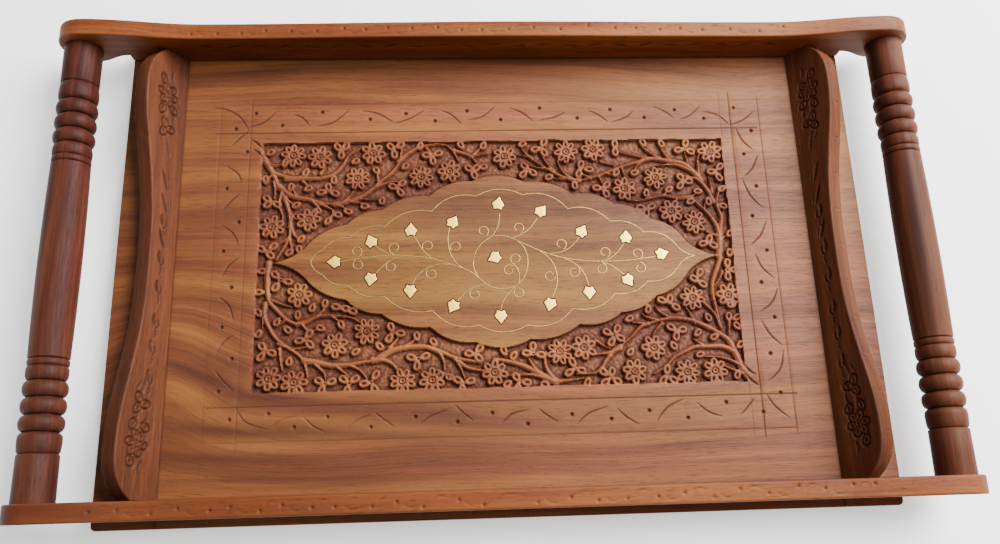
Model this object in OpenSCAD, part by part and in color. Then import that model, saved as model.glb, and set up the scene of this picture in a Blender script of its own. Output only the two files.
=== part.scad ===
// Carved wooden serving tray with turned handles and a brass vine inlay.
// Origin: centre of the board's underside. X runs along the tray, Z points up.

/* [Board] */
// Length of the base board along X
board_l = 436; // [420:1:450]
// Width of the base board along Y
board_w = 289; // [284:1:300]
// Thickness of the base board
board_t = 12; // [10:0.5:16]
// Radius of the board's upright corners
board_corner_r = 3; // [1:0.5:6]

/* [Carved panel] */
// Length of the sunk panel
panel_l = 277; // [272:1:284]
// Width of the sunk panel
panel_w = 149; // [144:1:156]
// Depth of the panel's ground below the board's top
panel_d = 2.4; // [1.5:0.1:3.5]

/* [Long rails] */
// Length of each long rail, over its rounded ends
rail_l = 510; // [500:1:520]
// Thickness of each long rail
rail_t = 10; // [8:0.5:12]
// Clear distance between the two long rails
rail_gap = 260; // [256:1:264]
// Height of the long rail above the board at its middle
rail_mid_h = 26.5; // [24:0.5:30]
// Height of the long rail above the board at its two dips
rail_dip_h = 24.6; // [22:0.1:26]
// Distance of each dip from the middle
rail_dip_x = 170; // [150:1:180]
// Height of the rounded rail end above the board
rail_end_h = 31; // [30:0.5:34]
// Radius of the rounded rail end
rail_end_r = 16.2; // [15:0.1:17]
// Rise of the small arch under the overhanging rail end
arch_h = 5.8; // [3:0.1:8]

/* [End rails] */
// Angle by which the end rails lean outwards
splay = 30; // [20:1:35]
// Thickness of each end rail
end_t = 10.5; // [8:0.5:12]
// Distance between the feet of the two end rails' inner faces
end_gap = 370; // [364:1:374]
// Height of the end rail at its middle, along the slope
end_mid_h = 17.2; // [15:0.1:20]
// Height of the end rail's two humps, along the slope
end_hump_h = 28.2; // [26:0.1:29]
// Height of the end rail where it meets the long rails, along the slope
end_foot_h = 16; // [13:0.1:18]
// Distance of each hump from the middle
end_hump_y = 101; // [90:1:104]
// How late the end rail falls from a hump to the long rail
end_fall = 3.2; // [2:0.1:4]

/* [Handles] */
// Distance between the axes of the two handles
handle_span = 484; // [480:1:488]
// Height of the handle axis above the board's top
handle_rise = 13.8; // [13:0.1:15]
// Diameter of the plain cylinder at each end of a handle
handle_end_d = 20.8; // [18:0.1:22]
// Diameter of the handle at the middle of its grip
handle_grip_d = 22.2; // [20:0.1:24]
// Length of the plain grip between the turned rings
grip_l = 110; // [106:1:110]
// Depth of the grooves between the turned beads
bead_groove = 1.9; // [0.8:0.1:2]
// Height of the turned beads above the plain cylinder
bead_swell = 0.8; // [0.3:0.1:1]
// Diameter of the tenon in the rail
tenon_d = 12; // [8:0.5:14]
// Length of the tenon in the rail
tenon_l = 6; // [4:0.5:8]

/* [Brass inlay] */
// Width of the inlaid wires
wire_w = 0.8; // [0.6:0.1:1.2]
// Depth of the inlaid wires
wire_d = 1.4; // [1:0.1:2]
// Thickness of the inlaid leaves
leaf_t = 1.6; // [1:0.1:2]
// Height of the brass above the wood
brass_proud = 0.1; // [0:0.05:0.3]

/* [Screws] */
// Shank diameter of the screws
screw_d = 3.5; // [3:0.1:4]
// Head diameter of the screws
screw_head_d = 7; // [6:0.1:8]
// Length of the screws
screw_l = 22; // [18:1:24]

/* [Hidden] */
$fn = 48;

rail_y = rail_gap / 2;
end_x = end_gap / 2;
handle_x = handle_span / 2;
handle_z = board_t + handle_rise;
rail_end_x = rail_l / 2 - rail_end_r;
screw_sink = 0.4;
long_screw_x = [-150, -50, 50, 150];
end_screw_y = [-85, 0, 85];
end_screw_x = end_x + 8.5;
// The end rail is drawn this far below the board's top, then cut off flush with it
end_buried = 12;
curve_steps = 3;
arc_steps = 5;

// Inlaid leaves: [x, y, direction of the tip]
LEAVES = [
    [1, 34, 80], [26, 29, 50], [49.5, 16, 60], [75.5, 12, 85], [96, 1.5, 15],
    [75, -14, -60], [52, -21, -90], [29, -27.5, -105], [0.5, -34, -90], [-26.5, -27.5, -120],
    [-51, -18, -92], [-73.5, -10.5, -100], [-94.5, 0, 180], [-73.5, 12, 112], [-50.5, 18.5, 90],
    [-26, 23, 60], [-2, 1, 205]];

// Outline of a leaf whose tip points along +X
LEAF_OUTLINE = [[4.4, 0], [2.2, 1.6], [-0.2, 3.5], [-1.8, 2.5], [-3.3, 2.1], [-2.8, 0],
    [-3.3, -2.1], [-1.8, -2.5], [-0.2, -3.5], [2.2, -1.6]];

// Scalloped outlines, a quarter for each end: [x, y, outward rise of the arc to the next point]
MEDALLION_RIGHT = [[17, 47.5, 3], [45.5, 39.5, 3], [70, 33, 2.5], [91, 23.5, 2.8], [111, 9, -1.5],
    [129, 0, 0]];
MEDALLION_LEFT = [[14.5, 48.5, 3], [39.5, 39.5, 3], [67.5, 31, 2.5], [87.5, 22.5, 2.8], [111, 9, -1.5],
    [129, 0, 0]];
medallion_rise = 4;
BORDER_RIGHT = [[15.5, 39.5, 4.4], [42, 30.3, 4], [67, 22, 2.8], [86.5, 15, 3.2], [105.5, 6, -1.3],
    [116, 0, 0]];
BORDER_LEFT = [[12, 39, 4.4], [38.2, 30, 4], [65.5, 21, 2.8], [86, 14.5, 2.2], [101, 7.5, 1.2],
    [108, 0, 0]];
border_rise = 4;

// Ring of wire that also carries the top leaf
RING = [[1.6, 28], [0.5, 20.5], [-3, 14.5], [-9, 10], [-13, 4.5], [-14.6, -2], [-13, -8.5], [-8.5, -14],
    [-2, -17.4], [5, -17.6], [11, -15.2], [15.5, -9.5], [17.2, -2], [16, 5], [12.5, 10], [7, 13.2],
    [1, 14.3], [-2.4, 14]];

// Vine stems, each a list of points on a smooth curve
RIGHT_STEMS = [
    [[7, 13.2], [17, 8.2], [26, 4], [35, 0.8], [45, -1.2], [56, -2.3], [74, -2.3], [92, -0.2]],
    [[9, 12.8], [15, 15.4], [20, 19.5], [24, 25]],
    [[29, 2.6], [37, 3.6], [43, 7], [48, 12.3]],
    [[58, -2.8], [65, -0.8], [70, 3], [74, 8]],
    [[60, -2.8], [66, -5.2], [72.5, -10.5]],
    [[38, 0], [45, -4], [49.5, -9.5], [52, -17]],
    [[24, 4.8], [30.5, -1], [33.5, -8.5], [33.5, -16], [30.5, -23.5]],
    [[9.5, -16.2], [4.5, -21.5], [1.8, -26], [0.6, -30.4]],
    [[11.6, -14.4], [12, -9.5], [10.6, -5.5], [8.2, -2.8]]];
LEFT_STEMS = [
    [[-11, -11.6], [-16, -7.5], [-23, -4.3], [-31, -1.4], [-38, 0.8], [-46, 2.2], [-60, 3.4],
        [-76, 2.4], [-91, 0]],
    [[-20, -5.8], [-25, -1], [-28, 5], [-29, 12.5], [-28, 19.6]],
    [[-38, 0.8], [-43.5, 6], [-48.6, 14.8]],
    [[-59, 3.4], [-65, 5.2], [-71, 9.2]],
    [[-55, 2.8], [-63, 0], [-70.5, -7]],
    [[-27, -2.8], [-35, -2.6], [-42, -5.2], [-47, -9.3], [-49.8, -14.4]],
    [[-7.8, -14.8], [-14, -16.4], [-19, -19.2], [-24, -24.4]]];

// Curls: [x, y, angle where the curl leaves its stem, turning direction]
RIGHT_CURLS = [[12.4, 18.9, -70, 1], [36.9, 8.4, -65, 1], [62.4, 3, -60, 1], [81.6, 1.9, -70, 1],
    [82.7, -6.9, 85, -1], [60, -7, 80, -1], [43.9, -8.6, 35, -1], [29.6, -10.5, -15, -1],
    [11.6, -20.2, 125, 1], [10.3, 0, 225, -1], [6.1, -6.9, 45, 1]];
LEFT_CURLS = [[-8.4, 17.3, -60, 1], [-24.4, 7.8, 215, -1], [-40.6, 8.6, 210, -1], [-60, 7.8, 255, -1],
    [-81.8, 6, -65, 1], [-80.6, -1.8, 115, 1], [-61.8, -3.4, 100, 1], [-38.6, -8, 145, 1],
    [-13.9, -20.8, 115, 1]];
curl_r = 3.4;
curl_end_r = 1.9;
curl_turn = 330;
curl_steps = 11;

// Smooth step from a to b as t goes from 0 to 1
function ease(a, b, t) = a + (b - a) * (1 - cos(180 * t)) / 2;

function backwards(list) = [for (i = [len(list) - 1 : -1 : 0]) list[i]];

// Points of an arc from p to q that bulges by h to the right of the way, without q
function arc_points(p, q, h) = [for (i = [0 : arc_steps - 1])
    let (t = i / arc_steps, way = q - p, right = [way[1], -way[0]] / norm(way))
    p + t * way + 4 * t * (1 - t) * h * right];

// Corners of a scalloped outline from its quarters, counter-clockwise from the right-hand tip
function inward(q, rise) = [for (i = [len(q) - 1 : -1 : 0]) [q[i][0], q[i][1], i > 0 ? q[i - 1][2] : rise]];
function outward(q) = [for (i = [0 : len(q) - 2]) q[i]];
function corners(right, left, rise) =
    concat(inward(right, rise), [for (c = outward(left)) [-c[0], c[1], c[2]]],
        [for (c = inward(left, rise)) [-c[0], -c[1], c[2]]],
        [for (c = outward(right)) [c[0], -c[1], c[2]]]);
function scallops(right, left, rise) =
    let (list = corners(right, left, rise), n = len(list))
    [for (i = [0 : n - 1])
        let (a = list[i], b = list[(i + 1) % n]) each arc_points([a[0], a[1]], [b[0], b[1]], a[2])];

// Catmull-Rom curve through a list of points
function curve_point(a, b, c, d, t) = (2 * b + (c - a) * t + (2 * a - 5 * b + 4 * c - d) * t * t
    + (3 * b - a - 3 * c + d) * t * t * t) / 2;
function smooth(list) = [
    for (i = [0 : len(list) - 2], k = [0 : curve_steps - 1])
        curve_point(list[max(i - 1, 0)], list[i], list[i + 1], list[min(i + 2, len(list) - 1)],
            k / curve_steps),
    list[len(list) - 1]];

// Spiral of a curl, from its stem inwards
function curl_points(c) = [for (i = [0 : curl_steps])
    let (t = i / curl_steps, r = curl_r + (curl_end_r - curl_r) * t, a = c[2] + c[3] * curl_turn * t)
    [c[0] + r * cos(a), c[1] + r * sin(a)]];

// Flat strip of the wire's width along a list of points
function beside(list, i, w) =
    let (way = list[min(i + 1, len(list) - 1)] - list[max(i - 1, 0)])
    list[i] + [-way[1], way[0]] / norm(way) * w;
module strip(list) {
    left = [for (i = [0 : len(list) - 1]) beside(list, i, wire_w / 2)];
    right = [for (i = [0 : len(list) - 1]) beside(list, i, -wire_w / 2)];
    polygon(concat(left, backwards(right)));
}

// Closed outline moved sideways by w
function moved_loop(list, w) = [for (i = [0 : len(list) - 1])
    let (n = len(list), way = list[(i + 1) % n] - list[(i + n - 1) % n])
    list[i] + [way[1], -way[0]] / norm(way) * w];
module border_strip() {
    loop = scallops(BORDER_RIGHT, BORDER_LEFT, border_rise);
    difference() {
        polygon(moved_loop(loop, wire_w / 2));
        polygon(moved_loop(loop, -wire_w / 2));
    }
}
module ring_strip() {
    strip(smooth(RING));
}
module stem_strips(stems) {
    for (stem = stems) strip(smooth(stem));
}
module curl_strips(curls) {
    for (curl = curls) strip(curl_points(curl));
}

// The wires are cut to meet and never cross: ring first, then stems, then curls
module vine_strips(stems) {
    difference() {
        stem_strips(stems);
        ring_strip();
    }
}
module free_curl_strips(stems, curls) {
    difference() {
        curl_strips(curls);
        stem_strips(stems);
        ring_strip();
    }
}

// Brass from its groove's floor to just above the wood
module inlay(depth) {
    translate([0, 0, board_t - depth]) linear_extrude(depth + brass_proud) children();
}
module groove(depth) {
    translate([0, 0, board_t - depth]) linear_extrude(depth + 1) children();
}

module leaf_shape(i) {
    leaf = LEAVES[i];
    translate([leaf[0], leaf[1]]) rotate(leaf[2]) polygon(LEAF_OUTLINE);
}

// Screws stand upright under the rails, heads down
module screw(x, y) {
    translate([x, y, screw_sink]) rotate_extrude() polygon([[0, 0], [screw_head_d / 2, 0],
        [screw_head_d / 2, 0.5], [screw_d / 2, 2.6], [screw_d / 2, screw_l - 3], [0.4, screw_l], [0, screw_l]]);
}
module screw_hole(x, y) {
    translate([x, y, 0]) {
        cylinder(h = board_t + 1, d = screw_d);
        translate([0, 0, -1]) cylinder(h = screw_sink + 1.5, d = screw_head_d);
        translate([0, 0, screw_sink + 0.5]) cylinder(h = 2.1, d1 = screw_head_d, d2 = screw_d);
    }
}
module pilot_hole(x, y) {
    translate([x, y, screw_sink]) rotate_extrude() polygon([[0, 0], [screw_d / 2, 0],
        [screw_d / 2, screw_l - 3], [0.4, screw_l], [0, screw_l]]);
}
module long_screws(side) {
    for (x = long_screw_x) screw(x, side * (rail_y + rail_t / 2));
}
module end_screws(side) {
    for (y = end_screw_y) screw(side * end_screw_x, y);
}

module base_board() {
    color("peru") difference() {
        linear_extrude(board_t) square_with_round_corners(board_l, board_w, board_corner_r);
        translate([0, 0, board_t - panel_d]) linear_extrude(panel_d + 1) difference() {
            square([panel_l, panel_w], center = true);
            polygon(scallops(MEDALLION_RIGHT, MEDALLION_LEFT, medallion_rise));
        }
        groove(leaf_t) for (i = [0 : len(LEAVES) - 1]) leaf_shape(i);
        groove(wire_d) border_strip();
        groove(wire_d) {
            ring_strip();
            stem_strips(concat(RIGHT_STEMS, LEFT_STEMS));
            curl_strips(concat(RIGHT_CURLS, LEFT_CURLS));
        }
        for (side = [-1, 1]) {
            for (x = long_screw_x) screw_hole(x, side * (rail_y + rail_t / 2));
            for (y = end_screw_y) screw_hole(side * end_screw_x, y);
        }
    }
}
module square_with_round_corners(l, w, r) {
    square([l - 2 * r, w], center = true);
    square([l, w - 2 * r], center = true);
    for (x = [-1, 1], y = [-1, 1]) translate([x * (l / 2 - r), y * (w / 2 - r)]) circle(r);
}

// Side view of half a long rail, as [x, height above the board]
function rail_top(x) = x < rail_dip_x ? ease(rail_mid_h, rail_dip_h, x / rail_dip_x)
    : ease(rail_dip_h, rail_end_h, (x - rail_dip_x) / (rail_end_x - rail_dip_x));
function rail_half() =
    let (low = rail_end_h - 2 * rail_end_r, arch_x = board_l / 2 + 1)
    concat([[0, 0], [board_l / 2, 0], [board_l / 2, arch_h]],
        [for (i = [0 : 8]) [arch_x + (rail_end_x - arch_x) * i / 8, ease(arch_h, low, i / 8)]],
        [for (a = [-80 : 10 : 80]) [rail_end_x + rail_end_r * cos(a), low + rail_end_r * (1 + sin(a))]],
        [for (i = [24 : -1 : 0]) let (x = rail_end_x * i / 24) [x, rail_top(x)]]);

function whole(half) = concat(half, [for (p = backwards(half)) if (p[0] > 0) [-p[0], p[1]]]);

module long_rail(side) {
    color("sienna") difference() {
        translate([0, side * (rail_y + rail_t / 2) + rail_t / 2, board_t]) rotate([90, 0, 0])
            linear_extrude(rail_t) polygon(whole(rail_half()));
        for (x = [-handle_x, handle_x]) translate([x, side * rail_y, handle_z]) rotate([side * 90, 0, 0])
            translate([0, 0, -tenon_l]) cylinder(h = tenon_l + 1, d = tenon_d);
        for (x = long_screw_x) pilot_hole(x, side * (rail_y + rail_t / 2));
    }
}

// Outline of an end rail in its own sloping plane, as [y, height along the slope]
function end_top(y) =
    let (a = abs(y))
    a < end_hump_y ? ease(end_mid_h, end_hump_h, pow(a / end_hump_y, 1.4))
    : end_hump_h - (end_hump_h - end_foot_h) * pow((a - end_hump_y) / (rail_y - end_hump_y), end_fall);
function end_half() =
    concat([[0, -end_buried], [rail_y, -end_buried]],
        [for (i = [0 : 9]) let (y = rail_y - (rail_y - end_hump_y) * i / 10) [y, end_top(y)]],
        [for (i = [16 : -1 : 0]) let (y = end_hump_y * i / 16) [y, end_top(y)]]);

module end_rail(side) {
    color("chocolate") difference() {
        mirror([side < 0 ? 1 : 0, 0, 0]) translate([end_x, 0, board_t]) rotate([0, splay, 0])
            rotate([90, 0, 90]) linear_extrude(end_t) polygon(whole(end_half()));
        translate([side * end_x, 0, board_t - 15]) cube([80, rail_gap + 2, 30], center = true);
        for (y = end_screw_y) pilot_hole(side * end_screw_x, y);
    }
}

// Turned handle, as [radius, distance from the middle]
function bead(a, b, r_low, r_high) = [for (i = [0 : 6]) let (k = (1 - cos(30 * i)) / 2)
    [r_low + (r_high - r_low) * pow(4 * k * (1 - k), 0.5), a + (b - a) * k]];
function handle_half() =
    let (r = handle_end_d / 2, grip = handle_grip_d / 2, low = r - bead_groove, high = r + bead_swell)
    concat([for (i = [0 : 6]) [grip - (grip - r) * i * i / 36, grip_l / 2 * i / 6]],
        [[r - 0.9, 55.7], [r, 56.4], [r, 58.8], [r - 0.9, 59.6], [r, 60.4], [r + 0.1, 63.5], [r - 0.4, 66.2]],
        bead(67.3, 75.9, low, high), bead(76.3, 85, low, high), bead(85.4, 94, low, high),
        [[r - 0.4, 95], [r + 0.4, 98], [r, 104], [r - 0.9, 105], [r, 106], [r + 0.2, rail_y],
            [tenon_d / 2, rail_y], [tenon_d / 2, rail_y + tenon_l]]);
module handle(side) {
    half = handle_half();
    end = rail_y + tenon_l;
    color("maroon") translate([side * handle_x, 0, handle_z]) rotate([90, 0, 0]) rotate_extrude()
        polygon(concat([[0, -end]], [for (p = backwards(half)) [p[0], -p[1]]],
            [for (i = [1 : len(half) - 1]) half[i]], [[0, end]]));
}

module brass_leaf(i) {
    color("gold") inlay(leaf_t) leaf_shape(i);
}
module steel_screws(side, long) {
    color("silver") if (long) long_screws(side); else end_screws(side);
}

base_board();
long_rail(-1);  // front_rail
long_rail(1);  // back_rail
end_rail(-1);  // left_end_rail
end_rail(1);  // right_end_rail
handle(-1);  // left_handle
handle(1);  // right_handle
brass_leaf(0);  // brass_leaf_01
brass_leaf(1);  // brass_leaf_02
brass_leaf(2);  // brass_leaf_03
brass_leaf(3);  // brass_leaf_04
brass_leaf(4);  // brass_leaf_05
brass_leaf(5);  // brass_leaf_06
brass_leaf(6);  // brass_leaf_07
brass_leaf(7);  // brass_leaf_08
brass_leaf(8);  // brass_leaf_09
brass_leaf(9);  // brass_leaf_10
brass_leaf(10);  // brass_leaf_11
brass_leaf(11);  // brass_leaf_12
brass_leaf(12);  // brass_leaf_13
brass_leaf(13);  // brass_leaf_14
brass_leaf(14);  // brass_leaf_15
brass_leaf(15);  // brass_leaf_16
brass_leaf(16);  // brass_leaf_17
color("gold") inlay(wire_d) border_strip();  // brass_border_wire
color("gold") inlay(wire_d) ring_strip();  // brass_ring_wire
color("gold") inlay(wire_d) vine_strips(LEFT_STEMS);  // brass_left_vine_wires
color("gold") inlay(wire_d) vine_strips(RIGHT_STEMS);  // brass_right_vine_wires
color("gold") inlay(wire_d) free_curl_strips(LEFT_STEMS, LEFT_CURLS);  // brass_left_curl_wires
color("gold") inlay(wire_d) free_curl_strips(RIGHT_STEMS, RIGHT_CURLS);  // brass_right_curl_wires
steel_screws(-1, true);  // front_rail_screws
steel_screws(1, true);  // back_rail_screws
steel_screws(-1, false);  // left_end_screws
steel_screws(1, false);  // right_end_screws
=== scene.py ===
# Carved wooden serving tray with a brass vine inlay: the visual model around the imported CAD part.
# Lengths are in millimetres until a mesh is made; z = 0 is the board's underside.
import math
import bmesh
import bpy
import numpy as np
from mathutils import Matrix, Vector, geometry, kdtree


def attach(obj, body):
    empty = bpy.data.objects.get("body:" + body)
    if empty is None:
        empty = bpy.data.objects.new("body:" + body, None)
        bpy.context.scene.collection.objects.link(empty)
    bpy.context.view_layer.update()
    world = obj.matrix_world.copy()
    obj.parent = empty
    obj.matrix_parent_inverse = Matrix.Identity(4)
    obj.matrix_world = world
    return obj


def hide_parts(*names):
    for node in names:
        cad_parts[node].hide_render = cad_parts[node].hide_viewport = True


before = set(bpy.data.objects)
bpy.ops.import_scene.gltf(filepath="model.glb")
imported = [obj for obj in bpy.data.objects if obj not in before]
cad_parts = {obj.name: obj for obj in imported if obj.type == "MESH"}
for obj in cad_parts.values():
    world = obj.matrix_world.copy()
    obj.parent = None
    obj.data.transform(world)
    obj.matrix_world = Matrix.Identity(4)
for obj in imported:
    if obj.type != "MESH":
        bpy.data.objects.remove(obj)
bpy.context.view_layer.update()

MM = 0.001
BOARD_L, BOARD_W, BOARD_T, CORNER_R = 436, 289, 12, 3
PANEL_L, PANEL_W, PANEL_D = 277, 149, 2.4
RAIL_L, RAIL_T, RAIL_Y = 510, 10, 130
RAIL_END_R, RAIL_END_H = 16.2, 31
RAIL_END_X = RAIL_L / 2 - RAIL_END_R
END_X, END_T, SPLAY = 185, 10.5, math.radians(30)
HANDLE_X, HANDLE_Z = 242, 25.8
WIRE_D, LEAF_T, PROUD = 1.4, 1.6, 0.1
LONG_SCREWS = (-150, -50, 50, 150)
END_SCREWS = (-85, 0, 85)
END_SCREW_X = END_X + 8.5
SINK, HEAD_R, HOLE_SIDES = 0.4, 3.5, 32
ARRIS = 0.6

rng = np.random.default_rng(11)

# ---------------------------------------------------------------- camera
camera_data = bpy.data.cameras.new("camera")
camera_data.sensor_width = 36
camera_data.lens = 30.36
camera_data.clip_start = 0.01
camera = bpy.data.objects.new("camera", camera_data)
camera.location = (-0.0230, -0.1391, 0.4808)
camera.rotation_euler = (0.274, -0.042, -0.031)
bpy.context.scene.collection.objects.link(camera)
bpy.context.scene.camera = camera


# ---------------------------------------------------------------- materials
class Shader:
    """A node material under construction."""

    def __init__(self, name):
        self.material = bpy.data.materials.new(name)
        self.material.use_nodes = True
        self.tree = self.material.node_tree
        self.tree.nodes.clear()
        self.bsdf = self.add("ShaderNodeBsdfPrincipled")
        output = self.add("ShaderNodeOutputMaterial")
        self.tree.links.new(self.bsdf.outputs[0], output.inputs["Surface"])

    def add(self, kind, **settings):
        """A new node of one kind."""
        node = self.tree.nodes.new(kind)
        for key, value in settings.items():
            setattr(node, key, value)
        return node

    def put(self, socket, value):
        """Link another node's output to a socket, or set the socket's own value."""
        if isinstance(value, bpy.types.NodeSocket):
            self.tree.links.new(value, socket)
        else:
            socket.default_value = value

    def math(self, operation, *values, clamp=False):
        node = self.add("ShaderNodeMath", operation=operation, use_clamp=clamp)
        for socket, value in zip(node.inputs, values):
            self.put(socket, value)
        return node.outputs[0]

    def vector(self, operation, *values):
        node = self.add("ShaderNodeVectorMath", operation=operation)
        for socket, value in zip(node.inputs, values):
            self.put(socket, value)
        return node.outputs[0]

    def mix(self, factor, a, b, blend="MIX"):
        node = self.add("ShaderNodeMix", data_type="RGBA", blend_type=blend)
        for socket, value in zip((node.inputs[0], node.inputs[6], node.inputs[7]), (factor, a, b)):
            self.put(socket, value)
        return node.outputs[2]

    def times(self, a, b):
        return self.math("MULTIPLY", a, b)

    def plus(self, a, b):
        return self.math("ADD", a, b)

    def minus(self, a, b):
        return self.math("SUBTRACT", a, b)

    def hill(self, dx, dy, rx, ry, amount):
        """A smooth round hill: its height at dx, dy from its middle, with radii in millimetres."""
        dx = self.math("DIVIDE", dx, rx * MM)
        dy = self.math("DIVIDE", dy, ry * MM)
        r2 = self.plus(self.times(dx, dx), self.times(dy, dy))
        return self.times(self.math("EXPONENT", self.times(r2, -1.0)), amount)

    def noise(self, place, scale, detail=2.0, roughness=0.5):
        node = self.add("ShaderNodeTexNoise")
        self.put(node.inputs["Vector"], self.vector("MULTIPLY", place, scale))
        node.inputs["Scale"].default_value = 1
        node.inputs["Detail"].default_value = detail
        node.inputs["Roughness"].default_value = roughness
        return node.outputs[0]

    def ramp(self, value, *stops):
        node = self.add("ShaderNodeValToRGB")
        points = node.color_ramp.elements
        while len(points) < len(stops):
            points.new(0.5)
        for point, (where, colour) in zip(points, stops):
            point.position = where
            point.color = (*colour, 1) if len(colour) == 3 else colour
        self.put(node.inputs[0], value)
        return node.outputs[0]

    def span(self, value, low, high, out_low=0.0, out_high=1.0):
        """Map the value from low..high to out_low..out_high, clamped."""
        node = self.add("ShaderNodeMapRange")
        names = ("From Min", "From Max", "To Min", "To Max")
        for socket, limit in zip(names, (low, high, out_low, out_high)):
            node.inputs[socket].default_value = limit
        self.put(node.inputs["Value"], value)
        return node.outputs[0]

    def attribute(self, name):
        return self.add("ShaderNodeAttribute", attribute_name=name).outputs["Fac"]

    def bump(self, height, strength, distance):
        node = self.add("ShaderNodeBump")
        node.inputs["Strength"].default_value = strength
        node.inputs["Distance"].default_value = distance
        self.put(node.inputs["Height"], height)
        self.put(self.bsdf.inputs["Normal"], node.outputs[0])


def grey(v):
    return (v, v, v)


# Noise scales of the wood: along the grain, across it, and through the thickness
WANDER, BROAD, BANDS, LINES = (2.5, 9, 9), (3, 70, 45), (5, 210, 120), (14, 720, 500)
FIBRE, PORES, PATCH = (70, 2600, 2600), (130, 2300, 2300), (9, 14, 14)
GLOW, HEART = (2.6, 46, 30), (2.2, 42, 42)


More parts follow.
